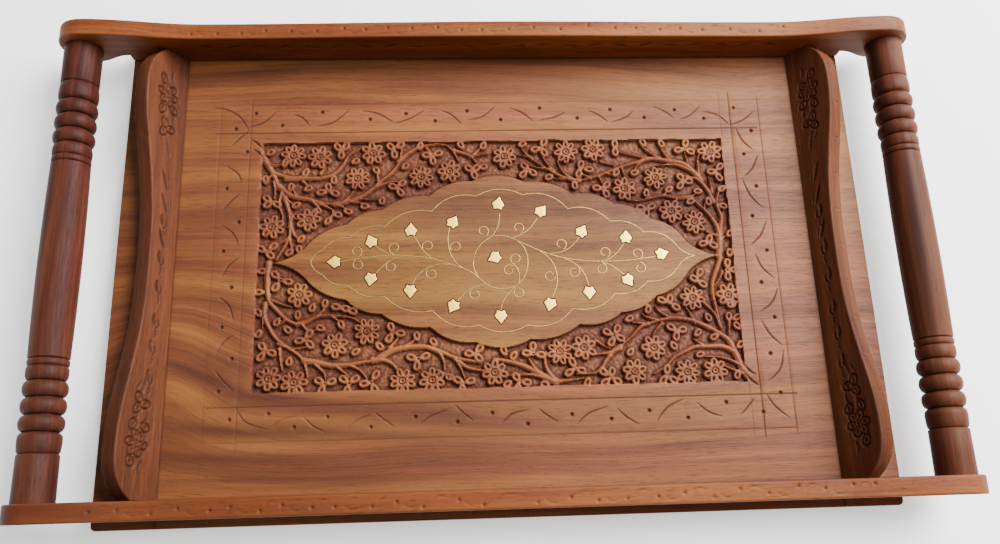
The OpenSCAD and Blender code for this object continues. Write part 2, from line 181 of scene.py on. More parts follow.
def wood(name, colours, axis="X", shift=(0, 0, 0), knots=(), streak=0.5, rough=0.52, carved=False,
         cavity_depth=0.9, zones=False, shades=(), gloss=0.22, gold=0.5, hollow=0.35):
    """Waxed hardwood with its grain along one axis.

    colours: dark, low, middle and high tones.
    knots: x, y, radii and push of the places that the grain bends around.
    shades: x, y, radii, slope and amount of a band, which is dark, or golden if the amount is negative;
    some are the wood's figure, others painted shade or a painted highlight.
    streak, gold: strength of the dark and of the golden figure.
    carved, cavity_depth, hollow: whether hollows darken (painted shade, with some dirt and wax) and raised
    tops lighten (a painted highlight, with some wear), how much the hollows darken, and their tone.
    zones: whether the seams, the medallion and the carved panel have their own tints.
    """
    dark, low, middle, high = colours
    s = Shader(name)
    place = s.add("ShaderNodeTexCoord").outputs["Object"]
    turn = s.add("ShaderNodeMapping")
    s.put(turn.inputs["Vector"], place)
    turn.inputs["Location"].default_value = shift
    if axis == "Y":
        turn.inputs["Rotation"].default_value = (0, 0, math.radians(90))
    here = turn.outputs[0]
    split = s.add("ShaderNodeSeparateXYZ")
    s.put(split.inputs[0], place)
    x_at, y_at, z_at = split.outputs

    # The grain wanders a little, and it bends around knots
    ripple = s.times(s.minus(s.noise(here, WANDER, 3, 0.5), 0.5), 0.035)
    bend = ripple
    for x, y, rx, ry, push in knots:
        hill = s.hill(s.minus(x_at, x * MM), s.minus(y_at, y * MM), rx, ry, push * MM)
        bend = s.plus(bend, hill)
    offset = s.add("ShaderNodeCombineXYZ")
    s.put(offset.inputs[1], bend)
    grain = s.vector("ADD", here, offset.outputs[0])

    bands = s.noise(grain, BANDS, 4, 0.6)
    lines = s.noise(grain, LINES, 3, 0.6)
    fibre = s.noise(grain, FIBRE, 2, 0.5)
    tone = s.times(s.noise(grain, BROAD, 3, 0.5), 0.34)
    for part, share in ((bands, 0.34), (lines, 0.22), (fibre, 0.10)):
        tone = s.plus(tone, s.times(part, share))
    colour = s.ramp(tone, (0.30, dark), (0.42, low), (0.52, middle), (0.64, high))

    # Golden bands, dark streaks of heartwood, pores, and large lighter and darker patches
    bright = s.noise(s.vector("ADD", grain, (3.1, 1.7, 0.4)), GLOW, 3, 0.55)
    glow = (high[0] * 1.15, high[1] * 1.4, high[2] * 0.85, 1)
    colour = s.mix(s.times(s.span(bright, 0.48, 0.66), gold), colour, glow)
    heart = s.noise(grain, HEART, 4, 0.62)
    dusk = (dark[0] * 1.5, dark[1] * 1.6, dark[2] * 2.0, 1)
    colour = s.mix(s.times(s.span(heart, 0.51, 0.61), streak), colour, dusk)
    pore = s.span(s.noise(grain, PORES, 1, 0.5), 0.60, 0.68)
    colour = s.mix(s.times(pore, 0.45), colour, (*[c * 0.45 for c in dark], 1))
    patch = s.ramp(s.noise(here, PATCH, 3, 0.5), (0.3, grey(0.86)), (0.7, grey(1.1)))
    colour = s.mix(1.0, colour, patch, "MULTIPLY")

    roughness = s.span(tone, 0.3, 0.7, rough + 0.08, rough - 0.06)
    relief = s.minus(s.plus(s.times(lines, 0.5), s.times(fibre, 0.4)), s.times(pore, 0.8))
    if carved:
        # Hollows darken towards the dark tone: painted shade, with some dirt and wax; raised tops lighten a
        # little towards the high tone: a painted highlight, with some wear
        cavity = s.attribute("cavity")
        deep = s.span(cavity, 0.05, 0.9)
        mix_mask = s.span(cavity, -0.05, -0.6)
        dust = s.noise(place, (900, 900, 900), 3, 0.6)
        colour = s.mix(s.times(deep, cavity_depth), colour, (*[c * hollow for c in dark], 1))
        colour = s.mix(s.times(mix_mask, 0.1), colour, (*high, 1))
        roughness = s.plus(roughness, s.times(deep, 0.25))
        relief = s.plus(relief, s.times(s.times(deep, dust), 0.8))
    # Bands from the shades list: the wood's figure, and broad patches of painted shade and painted highlight
    for x, y, rx, ry, slope, amount in shades:
        dx = s.minus(x_at, x * MM)
        dy = s.minus(s.plus(y_at, s.times(ripple, 0.3)), y * MM)
        cover = s.hill(dx, s.minus(dy, s.times(dx, slope)), rx, ry, abs(amount))
        figure = heart if ry > 12 else bands
        cover = s.times(cover, s.span(figure, 0.42, 0.58, 0.6, 1.1))
        colour = s.mix(cover, colour, dusk if amount > 0 else glow)
    if zones:
        foot = s.math("ABSOLUTE", s.minus(s.math("ABSOLUTE", x_at), END_X * MM))
        side = s.math("ABSOLUTE", s.minus(s.math("ABSOLUTE", y_at), RAIL_Y * MM))
        seam = s.span(s.math("MINIMUM", foot, side), 0.0002, 0.0014, 0.75, 0)
        on_top = s.span(z_at, (BOARD_T - 0.4) * MM, (BOARD_T - 0.1) * MM)
        colour = s.mix(s.times(seam, on_top), colour, (*dark, 1))
        zone = s.attribute("zone")
        for full, tint in ((1, (0.96, 1.16, 0.92, 1)), (-1, (1.05, 1.02, 1.25, 1))):
            colour = s.mix(s.span(zone, 0, full), colour, s.mix(1.0, colour, tint, "MULTIPLY"))
    s.put(s.bsdf.inputs["Base Color"], colour)
    s.put(s.bsdf.inputs["Roughness"], roughness)
    s.bsdf.inputs["Specular IOR Level"].default_value = gloss
    s.bump(relief, 0.35, 0.0002)
    return s.material


def metal(name, colour, tarnish, rough, scratch):
    """Filed metal with fine scratches and a little tarnish."""
    s = Shader(name)
    place = s.add("ShaderNodeTexCoord").outputs["Object"]
    cloud = s.noise(place, (260, 260, 260), 4, 0.6)
    files = s.noise(place, scratch, 2, 0.5)
    spots = s.noise(place, (900, 900, 900), 2, 0.5)
    mix_mask = s.span(cloud, 0.45, 0.75, 0.0, 0.55)
    dull = s.math("ADD", mix_mask, s.span(spots, 0.62, 0.75, 0.0, 0.4), clamp=True)
    s.put(s.bsdf.inputs["Base Color"], s.mix(dull, (*colour, 1), (*tarnish, 1)))
    s.bsdf.inputs["Metallic"].default_value = 1
    filed = s.span(files, 0.3, 0.7, rough - 0.05, rough + 0.08)
    s.put(s.bsdf.inputs["Roughness"], s.plus(s.times(dull, 0.2), filed))
    s.bump(files, 0.15, 0.00005)
    return s.material


# Bands that the board's figure shows, mostly at its left front corner, and fainter ones in the medallion;
# broad dark patches over the left half are painted shade, with some darker figure, the dark strip outside
# the left end rail is its painted shadow, and the golden patches at the right back and outside the right
# end rail are a painted highlight
BOARD_SHADES = [
    (-130, -110, 170, 50, 0, 0.5), (-200, 0, 60, 200, 0, 0.34), (-232, 0, 15, 300, 0, 0.75),
    (-155, -58, 30, 7, -0.35, 0.55), (-166, -64, 24, 3.6, -0.42, 1.5), (-125, -77.5, 28, 2.6, -0.1, 1.2),
    (-150, -95.5, 40, 3, -0.12, 1.2), (-85, -98.3, 70, 2.5, -0.03, 1), (-150, -110.5, 36, 2.2, -0.07, 1.3),
    (-135, -122, 50, 1.4, -0.02, 0.6), (-173, -73, 16, 5, -0.4, -0.6), (-100, -91, 60, 3.5, -0.09, -0.55),
    (-135, -104, 35, 3.5, -0.05, -0.4), (-172, -42, 18, 6, -0.35, -0.5), (120, 108, 110, 16, 0, -0.4),
    (205, 60, 14, 60, 0, -0.5), (-165, 60, 45, 55, 0, 0.3), (-40, 20, 60, 4, 0, 0.25),
    (15, 9, 70, 3.5, 0, 0.25), (50, -13, 60, 5, 0, 0.25), (-60, -8, 50, 3, 0, 0.2),
    (0, -27, 50, 3, 0, 0.2), (70, 20, 30, 3, 0, 0.2)]
# The left handle is darker (painted shade; the top patch is the back rail's painted shadow) and the right one
# lighter (painted light); the three thin streaks on the right handle are its figure
HANDLE_SHADES = [
    (-242, 90, 40, 45, 0, 0.5), (-242, -90, 40, 60, 0, 0.5), (242, -50, 40, 120, 0, -0.13),
    (-242, 0, 40, 80, 0, 0.3), (239, 20, 2.5, 45, 0, 0.9), (244, 50, 1.6, 30, 0, 0.6),
    (243, -30, 1.4, 22, 0, 0.5)]
BOARD_KNOTS = [(-185, -60, 35, 45, -25), (-115, -108, 60, 30, 7), (60, -85, 120, 20, 8),
               (150, 105, 80, 30, 9)]

board_material = wood(
    "board_wood",
    ((0.038, 0.009, 0.003), (0.090, 0.023, 0.007), (0.152, 0.042, 0.013), (0.235, 0.074, 0.025)),
    carved=True, zones=True, cavity_depth=0.85, streak=0.35, gold=0.6, hollow=0.9,
    knots=BOARD_KNOTS, shades=BOARD_SHADES)
# The front rail darkens towards its left end: painted shade, away from the key lamp at the right
rail_material = wood(
    "rail_wood",
    ((0.042, 0.009, 0.002), (0.102, 0.023, 0.005), (0.168, 0.041, 0.009), (0.235, 0.067, 0.018)),
    shift=(0.4, 0.13, 0.07), carved=True, cavity_depth=0.45, streak=0.4, gloss=0.18,
    shades=[(-260, -135, 260, 40, 0, 0.9)])
end_material = wood(
    "end_rail_wood",
    ((0.022, 0.006, 0.0032), (0.053, 0.0145, 0.006), (0.087, 0.0245, 0.0095), (0.132, 0.041, 0.016)),
    axis="Y", shift=(0.3, 0.2, 0.5), carved=True, cavity_depth=0.38, streak=0.4, gloss=0.12, gold=0.25)
handle_material = wood(
    "handle_wood",
    ((0.013, 0.004, 0.003), (0.038, 0.008, 0.004), (0.080, 0.018, 0.009), (0.150, 0.048, 0.026)),
    axis="Y", shift=(0.8, 0.5, 0.2), streak=0.7, gold=0.3, gloss=0.11, shades=HANDLE_SHADES)
leaf_brass = metal("leaf_brass", (1.0, 0.70, 0.12), (0.90, 0.55, 0.08), 0.50, (900, 250, 250))
wire_brass = metal("wire_brass", (0.46, 0.28, 0.08), (0.20, 0.11, 0.04), 0.50, (400, 400, 400))
steel = metal("steel", (0.56, 0.56, 0.57), (0.32, 0.31, 0.30), 0.32, (700, 700, 200))


def lac():
    """Dark, dull sealing lac."""
    s = Shader("lac")
    place = s.add("ShaderNodeTexCoord").outputs["Object"]
    cloud = s.noise(place, (700, 700, 700), 3, 0.6)
    tone = s.ramp(cloud, (0.3, (0.010, 0.005, 0.003)), (0.7, (0.030, 0.014, 0.007)))
    s.put(s.bsdf.inputs["Base Color"], tone)
    s.put(s.bsdf.inputs["Roughness"], s.span(cloud, 0.3, 0.7, 0.6, 0.8))
    s.bsdf.inputs["Specular IOR Level"].default_value = 0.15
    s.bump(cloud, 0.3, 0.00005)
    return s.material


# ---------------------------------------------------------------- mesh helpers
def grid_faces(rows, columns):
    """Quads of a grid of points that is stored row by row."""
    first = np.arange(rows - 1)[:, None] * columns + np.arange(columns - 1)[None, :]
    return np.stack([first, first + 1, first + columns + 1, first + columns], -1).reshape(-1, 4)


def make_piece(name, points, faces, material, nodes, sharp=40, merge=1e-4):
    """Object from points in millimetres, cleaned up; it stands for the CAD nodes."""
    mesh = bpy.data.meshes.new(name)
    mesh.from_pydata((np.asarray(points, float) * MM).tolist(), [], faces)
    work = bmesh.new()
    work.from_mesh(mesh)
    bmesh.ops.remove_doubles(work, verts=work.verts, dist=merge * MM)
    bmesh.ops.dissolve_degenerate(work, dist=merge * MM, edges=work.edges)
    bmesh.ops.recalc_face_normals(work, faces=work.faces)
    work.to_mesh(mesh)
    work.free()
    mesh.validate()
    mesh.shade_smooth()
    mesh.set_sharp_from_angle(angle=math.radians(sharp))
    mesh.materials.append(material)
    thing = bpy.data.objects.new(name, mesh)
    bpy.context.scene.collection.objects.link(thing)
    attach(thing, "root")
    if nodes:
        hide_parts(*nodes)
    return thing


def read_all(items, key, width=1, kind=float):
    """One property of all the items, as an array."""
    values = np.zeros(len(items) * width, kind)
    items.foreach_get(key, values)
    return values.reshape(-1, width) if width > 1 else values


def unfold(thing):
    """Lay the six views of a piece out in one square, for the baked textures; the underside is smaller."""
    mesh = thing.data
    co = read_all(mesh.vertices, "co", 3)
    low, size = co.min(0), co.max(0) - co.min(0)
    normal = read_all(mesh.polygons, "normal", 3)
    loops = read_all(mesh.polygons, "loop_total", kind=int)
    vertex = read_all(mesh.loops, "vertex_index", kind=int)
    main = np.abs(normal).argmax(1)
    view = np.repeat(main * 2 + (normal[np.arange(len(main)), main] < 0), loops)
    # The views look along x, y and z, from both ends; each has two axes and a scale
    plane = [(1, 2), (1, 2), (0, 2), (0, 2), (0, 1), (0, 1)]
    share = [1, 1, 1, 1, 1, 0.5]
    gap = 0.006
    tall = sum(size[b] * k for (_, b), k in zip(plane, share))
    wide = max(size[a] * k for (a, _), k in zip(plane, share))
    scale = min((1 - 7 * gap) / tall, (1 - 2 * gap) / wide)
    uv = np.zeros((len(vertex), 2))
    row = gap
    for i, ((a, b), k) in enumerate(zip(plane, share)):
        here = view == i
        uv[here] = (co[vertex[here]][:, [a, b]] - low[[a, b]]) * scale * k + (gap, row)
        row += size[b] * scale * k + gap
    mesh.uv_layers.new(name="OFBake").uv.foreach_set("vector", uv.astype(np.float32).ravel())


def catmull(points, steps):
    """Smooth curve through the points, with steps pieces between neighbours."""
    p = np.array([points[0], *points, points[-1]], float)
    t = (np.arange(steps) / steps)[:, None]
    out = []
    for a, b, c, d in zip(p[:-3], p[1:-2], p[2:-1], p[3:]):
        out.append((2 * b + (c - a) * t + (2 * a - 5 * b + 4 * c - d) * t ** 2
                    + (3 * b - a - 3 * c + d) * t ** 3) / 2)
    return np.vstack([*out, p[-1:]])


def blur(field, size, times=3):
    """Box blur, repeated so that it is close to a Gaussian."""
    for _ in range(times):
        for axis in (0, 1):
            pad = [(0, 0), (0, 0)]
            pad[axis] = (size + 1, size)
            total = np.cumsum(np.pad(field, pad, mode="edge"), axis=axis)
            n = field.shape[axis]
            high = np.take(total, np.arange(2 * size + 1, 2 * size + 1 + n), axis=axis)
            low = np.take(total, np.arange(0, n), axis=axis)
            field = (high - low) / (2 * size + 1)
    return field


def segment_distance(x, y, a, b):
    """Distance of points to the segment from a to b, and how far along it they are."""
    way = (b[0] - a[0], b[1] - a[1])
    length2 = max(way[0] ** 2 + way[1] ** 2, 1e-9)
    t = np.clip(((x - a[0]) * way[0] + (y - a[1]) * way[1]) / length2, 0, 1)
    return np.hypot(x - a[0] - t * way[0], y - a[1] - t * way[1]), t


def polygon_distance(x, y, outline):
    """Distance to a closed outline, positive inside."""
    nearest = np.full(x.shape, 1e9)
    inside = np.zeros(x.shape, bool)
    for a, b in zip(outline, np.roll(outline, -1, axis=0)):
        nearest = np.minimum(nearest, segment_distance(x, y, a, b)[0])
        crosses = (a[1] > y) != (b[1] > y)
        if a[1] != b[1]:
            inside ^= crosses & (x < a[0] + (y - a[1]) / (b[1] - a[1]) * (b[0] - a[0]))
    return np.where(inside, nearest, -nearest)


def step(t):
    """Smooth step from 0 to 1."""
    t = np.clip(t, 0, 1)
    return t * t * (3 - 2 * t)


class Carving:
    """Heights in millimetres over a grid of two coordinates; cuts go down from 0."""

    def __init__(self, u, v):
        self.u, self.v = u, v
        self.height = np.zeros(u.shape)

    def window(self, low, high):
        """The part of the grid between two corners; all of a small grid, as its lines may be bent."""
        if self.u.size < 60000:
            return (slice(None), slice(None))
        columns = np.searchsorted(self.u[0], (low[0], high[0]))
        rows = np.searchsorted(self.v[:, 0], (low[1], high[1]))
        return (slice(rows[0], rows[1]), slice(columns[0], columns[1]))

    def dot(self, u, v, radius, depth):
        """A round hole with sloping sides."""
        w = self.window((u - radius, v - radius), (u + radius, v + radius))
        d = np.hypot(self.u[w] - u, self.v[w] - v) / radius
        self.height[w] = np.minimum(self.height[w], -depth * np.clip(1.25 * (1 - d), 0, 1))

    def gouge(self, points, width, depth, curve=6, even=False):
        """A cut along a curve that starts and ends thin, or is even."""
        line = catmull(points, curve) if len(points) > 2 else np.array(points, float)
        n = len(line) - 1
        for i in range(n):
            a, b = line[i], line[i + 1]
            w = self.window(np.minimum(a, b) - width, np.maximum(a, b) + width)
            d, t = segment_distance(self.u[w], self.v[w], a, b)
            along = (i + t) / n
            size = 1.0 if even else np.sin(math.pi * np.clip(along, 0.02, 0.98)) ** 0.4
            cut = -depth * size * np.clip(1 - (2 * d / (width * size)) ** 2, 0, 1)
            self.height[w] = np.minimum(self.height[w], cut)


# ---------------------------------------------------------------- inlay shapes
LEAVES = [(1, 34, 80), (26, 29, 50), (49.5, 16, 60), (75.5, 12, 85), (96, 1.5, 15), (75, -14, -60),
    (52, -21, -90), (29, -27.5, -105), (0.5, -34, -90), (-26.5, -27.5, -120), (-51, -18, -92),
    (-73.5, -10.5, -100), (-94.5, 0, 180), (-73.5, 12, 112), (-50.5, 18.5, 90), (-26, 23, 60), (-2, 1, 205)]
LEAF_OUTLINE = [(4.4, 0), (2.2, 1.6), (-0.2, 3.5), (-1.8, 2.5), (-3.3, 2.1), (-2.8, 0), (-3.3, -2.1),
    (-1.8, -2.5), (-0.2, -3.5), (2.2, -1.6)]
MEDALLION_RIGHT = [(17, 47.5, 3), (45.5, 39.5, 3), (70, 33, 2.5), (91, 23.5, 2.8), (111, 9, -1.5),
    (129, 0, 0)]
MEDALLION_LEFT = [(14.5, 48.5, 3), (39.5, 39.5, 3), (67.5, 31, 2.5), (87.5, 22.5, 2.8), (111, 9, -1.5),
    (129, 0, 0)]
BORDER_RIGHT = [(15.5, 39.5, 4.4), (42, 30.3, 4), (67, 22, 2.8), (86.5, 15, 3.2), (105.5, 6, -1.3),
    (116, 0, 0)]
BORDER_LEFT = [(12, 39, 4.4), (38.2, 30, 4), (65.5, 21, 2.8), (86, 14.5, 2.2), (101, 7.5, 1.2), (108, 0, 0)]
TOP_RISE = 4
RING = [(1.6, 28), (0.5, 20.5), (-3, 14.5), (-9, 10), (-13, 4.5), (-14.6, -2), (-13, -8.5), (-8.5, -14),
    (-2, -17.4), (5, -17.6), (11, -15.2), (15.5, -9.5), (17.2, -2), (16, 5), (12.5, 10), (7, 13.2),
    (1, 14.3), (-2.4, 14)]
RIGHT_STEMS = [[(7, 13.2), (17, 8.2), (26, 4), (35, 0.8), (45, -1.2), (56, -2.3), (74, -2.3), (92, -0.2)],
    [(9, 12.8), (15, 15.4), (20, 19.5), (24, 25)], [(29, 2.6), (37, 3.6), (43, 7), (48, 12.3)],
    [(58, -2.8), (65, -0.8), (70, 3), (74, 8)], [(60, -2.8), (66, -5.2), (72.5, -10.5)],
    [(38, 0), (45, -4), (49.5, -9.5), (52, -17)],
    [(24, 4.8), (30.5, -1), (33.5, -8.5), (33.5, -16), (30.5, -23.5)],
    [(9.5, -16.2), (4.5, -21.5), (1.8, -26), (0.6, -30.4)],
    [(11.6, -14.4), (12, -9.5), (10.6, -5.5), (8.2, -2.8)]]
LEFT_STEMS = [
    [(-11, -11.6), (-16, -7.5), (-23, -4.3), (-31, -1.4), (-38, 0.8), (-46, 2.2), (-60, 3.4), (-76, 2.4),
        (-91, 0)],
    [(-20, -5.8), (-25, -1), (-28, 5), (-29, 12.5), (-28, 19.6)], [(-38, 0.8), (-43.5, 6), (-48.6, 14.8)],
    [(-59, 3.4), (-65, 5.2), (-71, 9.2)], [(-55, 2.8), (-63, 0), (-70.5, -7)],
    [(-27, -2.8), (-35, -2.6), (-42, -5.2), (-47, -9.3), (-49.8, -14.4)],
    [(-7.8, -14.8), (-14, -16.4), (-19, -19.2), (-24, -24.4)]]
RIGHT_CURLS = [(12.4, 18.9, -70, 1), (36.9, 8.4, -65, 1), (62.4, 3, -60, 1), (81.6, 1.9, -70, 1),
    (82.7, -6.9, 85, -1), (60, -7, 80, -1), (43.9, -8.6, 35, -1), (29.6, -10.5, -15, -1),
    (11.6, -20.2, 125, 1), (10.3, 0, 225, -1), (6.1, -6.9, 45, 1)]
LEFT_CURLS = [(-8.4, 17.3, -60, 1), (-24.4, 7.8, 215, -1), (-40.6, 8.6, 210, -1), (-60, 7.8, 255, -1),
    (-81.8, 6, -65, 1), (-80.6, -1.8, 115, 1), (-61.8, -3.4, 100, 1), (-38.6, -8, 145, 1),
    (-13.9, -20.8, 115, 1)]
CURL_R, CURL_END_R, CURL_TURN = 3.4, 1.9, 330


def curl_line(curl):
    x, y, start, turning = curl
    t = np.linspace(0, 1, 31)
    r = CURL_R + (CURL_END_R - CURL_R) * t
    a = np.radians(start + turning * CURL_TURN * t)
    return np.stack([x + r * np.cos(a), y + r * np.sin(a)], 1)


def scallops(right, left, steps=10):
    """Closed outline; each side between two corners is an arc. The lists hold the corners of the upper
    right and upper left quarter, from the middle outwards, with the rise of the arc that follows."""
    def inward(quarter):
        rises = [TOP_RISE] + [rise for x, y, rise in quarter]
        return [(x, y, rises[i]) for i, (x, y, _) in enumerate(quarter)][::-1]

    corners = inward(right)
    corners += [(-x, y, rise) for x, y, rise in left[:-1]]
    corners += [(-x, -y, rise) for x, y, rise in inward(left)]
    corners += [(x, -y, rise) for x, y, rise in right[:-1]]
    out = []
    for a, b in zip(corners, corners[1:] + corners[:1]):
        start, end = np.array(a[:2], float), np.array(b[:2], float)
        way = end - start
        outward = np.array([way[1], -way[0]]) / np.hypot(*way)
        for i in range(steps):
            t = i / steps
            out.append(start + t * way + 4 * t * (1 - t) * a[2] * outward)
    return np.array(out)


def leaf_outline(i):
    x, y, turn = LEAVES[i]
    shape = catmull(LEAF_OUTLINE + LEAF_OUTLINE[:1], 4)[:-1]
    c, s = math.cos(math.radians(turn)), math.sin(math.radians(turn))
    return np.stack([x + shape[:, 0] * c - shape[:, 1] * s, y + shape[:, 0] * s + shape[:, 1] * c], 1)


def side_ways(line, closed):
    """Unit vectors to the left of a line at each point."""
    if closed:
        way = np.roll(line, -1, 0) - np.roll(line, 1, 0)
    else:
        way = np.vstack([line[1:2] - line[:1], line[2:] - line[:-2], line[-1:] - line[-2:-1]])
    way /= np.hypot(way[:, 0], way[:, 1])[:, None]
    return np.stack([-way[:, 1], way[:, 0]], 1)


def ribbon(line, section, closed=False):
    """Points and faces of a strip along a line; section lists (sideways, height)."""
    left = side_ways(line, closed)
    n, m = len(line), len(section)
    points = np.zeros((n, m, 3))
    for j, (across, height) in enumerate(section):
        points[:, j, :2] = line + left * across
        points[:, j, 2] = height
    faces = []
    for i in range(n if closed else n - 1):
        k = (i + 1) % n
        for j in range(m):
            faces.append((i * m + j, i * m + (j + 1) % m, k * m + (j + 1) % m, k * m + j))
    if not closed:
        faces += [tuple(range(m)), tuple((n - 1) * m + j for j in range(m))[::-1]]
    return points.reshape(-1, 3), faces


def join(parts):
    """One list of points and faces from several."""
    points, faces, start = [], [], 0
    for p, f in parts:
        points.append(p)
        faces += [tuple(i + start for i in face) for face in f]
        start += len(p)
    return np.vstack(points), faces


# ---------------------------------------------------------------- carved board
FLOWERS = [(-120, 66.5), (-104.5, 65.2), (-73, 67.5), (-82, 51.5), (-131, 22), (-110, 26), (-44.5, 52),
    (-27.5, 55.3), (5.5, 64.5), (42.8, 67), (59.3, 68.3), (131, 66), (96, 49.5), (77, 42.8), (104, 28),
    (117.3, 21)]
BLOSSOMS = [((-92, 69), (-94, 71.5), (-89.5, 72), (-92, 67)),
    ((-98, 43.5), (-99, 46), (-95.5, 42.5), (-103, 43)),
    ((-132, 37.5), (-134.5, 39.5), (-134, 36), (-129, 36)),
    ((-134, 7), (-136.5, 8.5), (-131.5, 5), (-130, 10)),
    ((-61, 70), (-62.5, 71.5), (-57, 72.5), (-60.5, 67)),
    ((-38, 66), (-34.5, 67), (-37.5, 62.5), (-41, 66)), ((-59, 45.5), (-61, 46), (-56, 48), (-57, 42.5)),
    ((-14, 55.5), (-16, 57), (-12, 57), (-13, 53)), ((28, 70), (24.5, 69), (29.5, 73), (29.5, 67)),
    ((19.5, 56), (17.5, 58), (22, 54), (16.5, 53)), ((51, 56), (51.5, 58.5), (50, 53), (56, 55.5)),
    ((64, 43), (60.5, 43.5), (66, 45), (65.5, 40)), ((115.5, 68), (116.5, 71.5), (112, 67.5), (119, 66.5)),
    ((133, 53), (136, 56), (131, 53), (135, 49.5)), ((113, 47), (111.5, 49.5), (116, 47), (111, 44.5)),
    ((89, 30), (86, 30.5), (92, 31), (89, 27.5)), ((124, 8), (125, 10), (121.5, 7.5), (127, 6.5)),
    ((73, 69), (73, 71.5), (73, 67))]
BUDS = [(-133.5, 69), (-125, 62), (-112.5, 56), (-136, 51.5), (-121, 46.5), (-111, 45.5), (-117.5, 35.3),
    (-96, 51), (-87.5, 31), (-93.5, 29), (-99, 25), (-77.5, 34), (-67.5, 37.5), (-120.5, 6.5), (-114, 14.5),
    (-115, 8), (-83.5, 62.5), (-71, 56.5), (-105.5, 31.5), (-20.5, 72), (-7, 72), (-7.5, 58), (-45, 72),
    (-54, 59), (16.5, 72.5), (32, 51), (47, 45.5), (90.5, 72.5), (101.5, 72), (84, 53), (72.5, 53),
    (90, 40), (104, 42), (121.5, 40.5), (116, 34), (136, 42), (135.5, 31), (127, 34), (138, 13.5),
    (136.5, 1.5)]
# Stems: lists of points, under their width at the foot and at the tip
STEMS = {
    (5.5, 3.2): [[(-141, 70), (-137, 64), (-132, 56), (-129, 49), (-124.5, 40)]],
    (3.2, 2.2): [[(-124.5, 40), (-121.5, 31), (-120.5, 22), (-121, 15), (-124, 9), (-128, 2)]],
    (2.6, 1.4): [[(-121, 15), (-120, 12), (-119.5, 9)], [(-54, 66), (-49, 69), (-46, 73)],
        [(-71, 46), (-63, 49), (-57, 49)], [(-88, 37), (-80, 38.5), (-75, 38), (-68, 38)],
        [(-108, 37.5), (-104, 33), (-103, 31)], [(-104, 36), (-98, 33), (-94, 30)],
        [(-121, 22), (-119, 29), (-116, 29)], [(131, 12), (126, 14), (122, 17)]],
    (3.0, 1.6): [[(-136, 62), (-132, 60.5), (-128, 61), (-124, 62.5)],
        [(117, 37), (108, 36.5), (100, 38), (92, 36.5), (85, 35), (78, 35.5)]],
    (3.2, 1.6): [[(-132, 56), (-125, 53.5), (-118, 52.5), (-114, 54.5)],
        [(-141, 70), (-138, 67), (-134, 68)]],
    (4.2, 3.0): [[(-128, 47), (-120, 41), (-111, 39), (-103, 36.5), (-95, 35.5)]],
    (3.4, 2.4): [
        [(-95, 35.5), (-88, 37), (-80, 40), (-73, 45), (-68, 50), (-63, 54), (-59, 59), (-57, 64), (-56, 70)],
        [(-124, 52), (-116, 52), (-105, 52), (-97, 54), (-91, 60), (-87, 67), (-79, 72)]],
    (2.2, 1.2): [[(-41, 70), (-38, 67)], [(-104, 55), (-101, 59)]],
    (2.8, 1.6): [[(-58, 62), (-50, 69), (-40, 72.5), (-30, 72.5), (-25, 68), (-22, 62)],
        [(-25, 69), (-15, 65), (-10, 59)], [(123, 51), (117, 54.5), (110, 57.5), (104, 58), (98, 57.5)],
        [(50, 48.5), (44, 49.5), (38, 52), (33, 55), (27, 59), (20, 64), (14, 65.5)]],
    (2.4, 1.4): [[(-15, 65), (-9, 66), (-4, 66)], [(-90, 37), (-86, 41), (-84, 44)],
        [(-96, 35.5), (-91, 34), (-88, 32)], [(-86, 37), (-80, 36), (-78, 35)],
        [(-124, 40), (-121, 37), (-118, 35)], [(-126, 44), (-127.5, 36), (-125, 28), (-126, 24)],
        [(-118, 41), (-119, 44), (-121, 46.5)], [(46, 49.5), (42, 52.5), (39, 57), (37.5, 62)],
        [(117, 56), (116.5, 61), (115.5, 66)], [(123, 50), (123, 60), (125, 66)],
        [(100, 62), (94, 66), (89, 71)], [(106, 61), (102.5, 66), (101, 71)],
        [(95, 62), (85, 64), (74, 67)], [(130, 40), (129, 50)]],
    (2.2, 1.4): [[(-13, 66), (-8, 71)], [(-70, 50), (-70.5, 56)], [(-131, 50), (-130, 44), (-130.5, 40)],
        [(-131, 55), (-134, 53), (-136, 51.5)], [(-114, 50), (-112, 48), (-111, 46)],
        [(-121, 15), (-126, 12), (-130, 10)], [(-98, 26), (-96, 30), (-97, 33)],
        [(22, 63), (18, 67), (15.5, 72)], [(33, 56), (26, 57), (20, 58.5)], [(35, 55), (31, 60), (28, 66)],
        [(44, 50), (38, 49.8), (33, 50.5)], [(90, 61), (85, 57), (84, 54)],
        [(64, 60.5), (68, 59), (72, 58)], [(57, 50), (53, 52), (51, 55)], [(50, 48.5), (48, 46)],
        [(134, 24), (136, 28)], [(132, 9), (135, 12)], [(124, 29), (125, 33)], [(100, 38), (103, 41)],
        [(92, 37), (90, 39)], [(66, 53), (70, 52)], [(62, 51), (64, 46)], [(108, 36.5), (107, 32)],
        [(117, 37), (120, 39)], [(76, 57), (78, 50)], [(116, 50), (114, 48)]],
    (2.6, 1.6): [[(-121.5, 31), (-118, 27), (-114, 26)], [(-120.5, 24), (-118, 17), (-114, 13.5)]],
    (4.0, 2.6): [[(130, 0), (132, 8), (132.5, 16), (134, 24), (132, 32), (133.5, 39), (136, 43)]],
    (3.6, 2.6): [[(131, 6), (131.5, 15), (129, 22), (125, 28), (120, 33), (117, 37)]],
    (3.2, 2.0): [[(130, 34), (127, 42), (122, 48), (116, 50), (110, 51)]],
    (3.6, 2.4): [
        [(124, 48), (115, 58), (105, 60.5), (95, 62), (86, 60), (76, 57), (66, 53), (57, 50), (50, 48.5)]]}

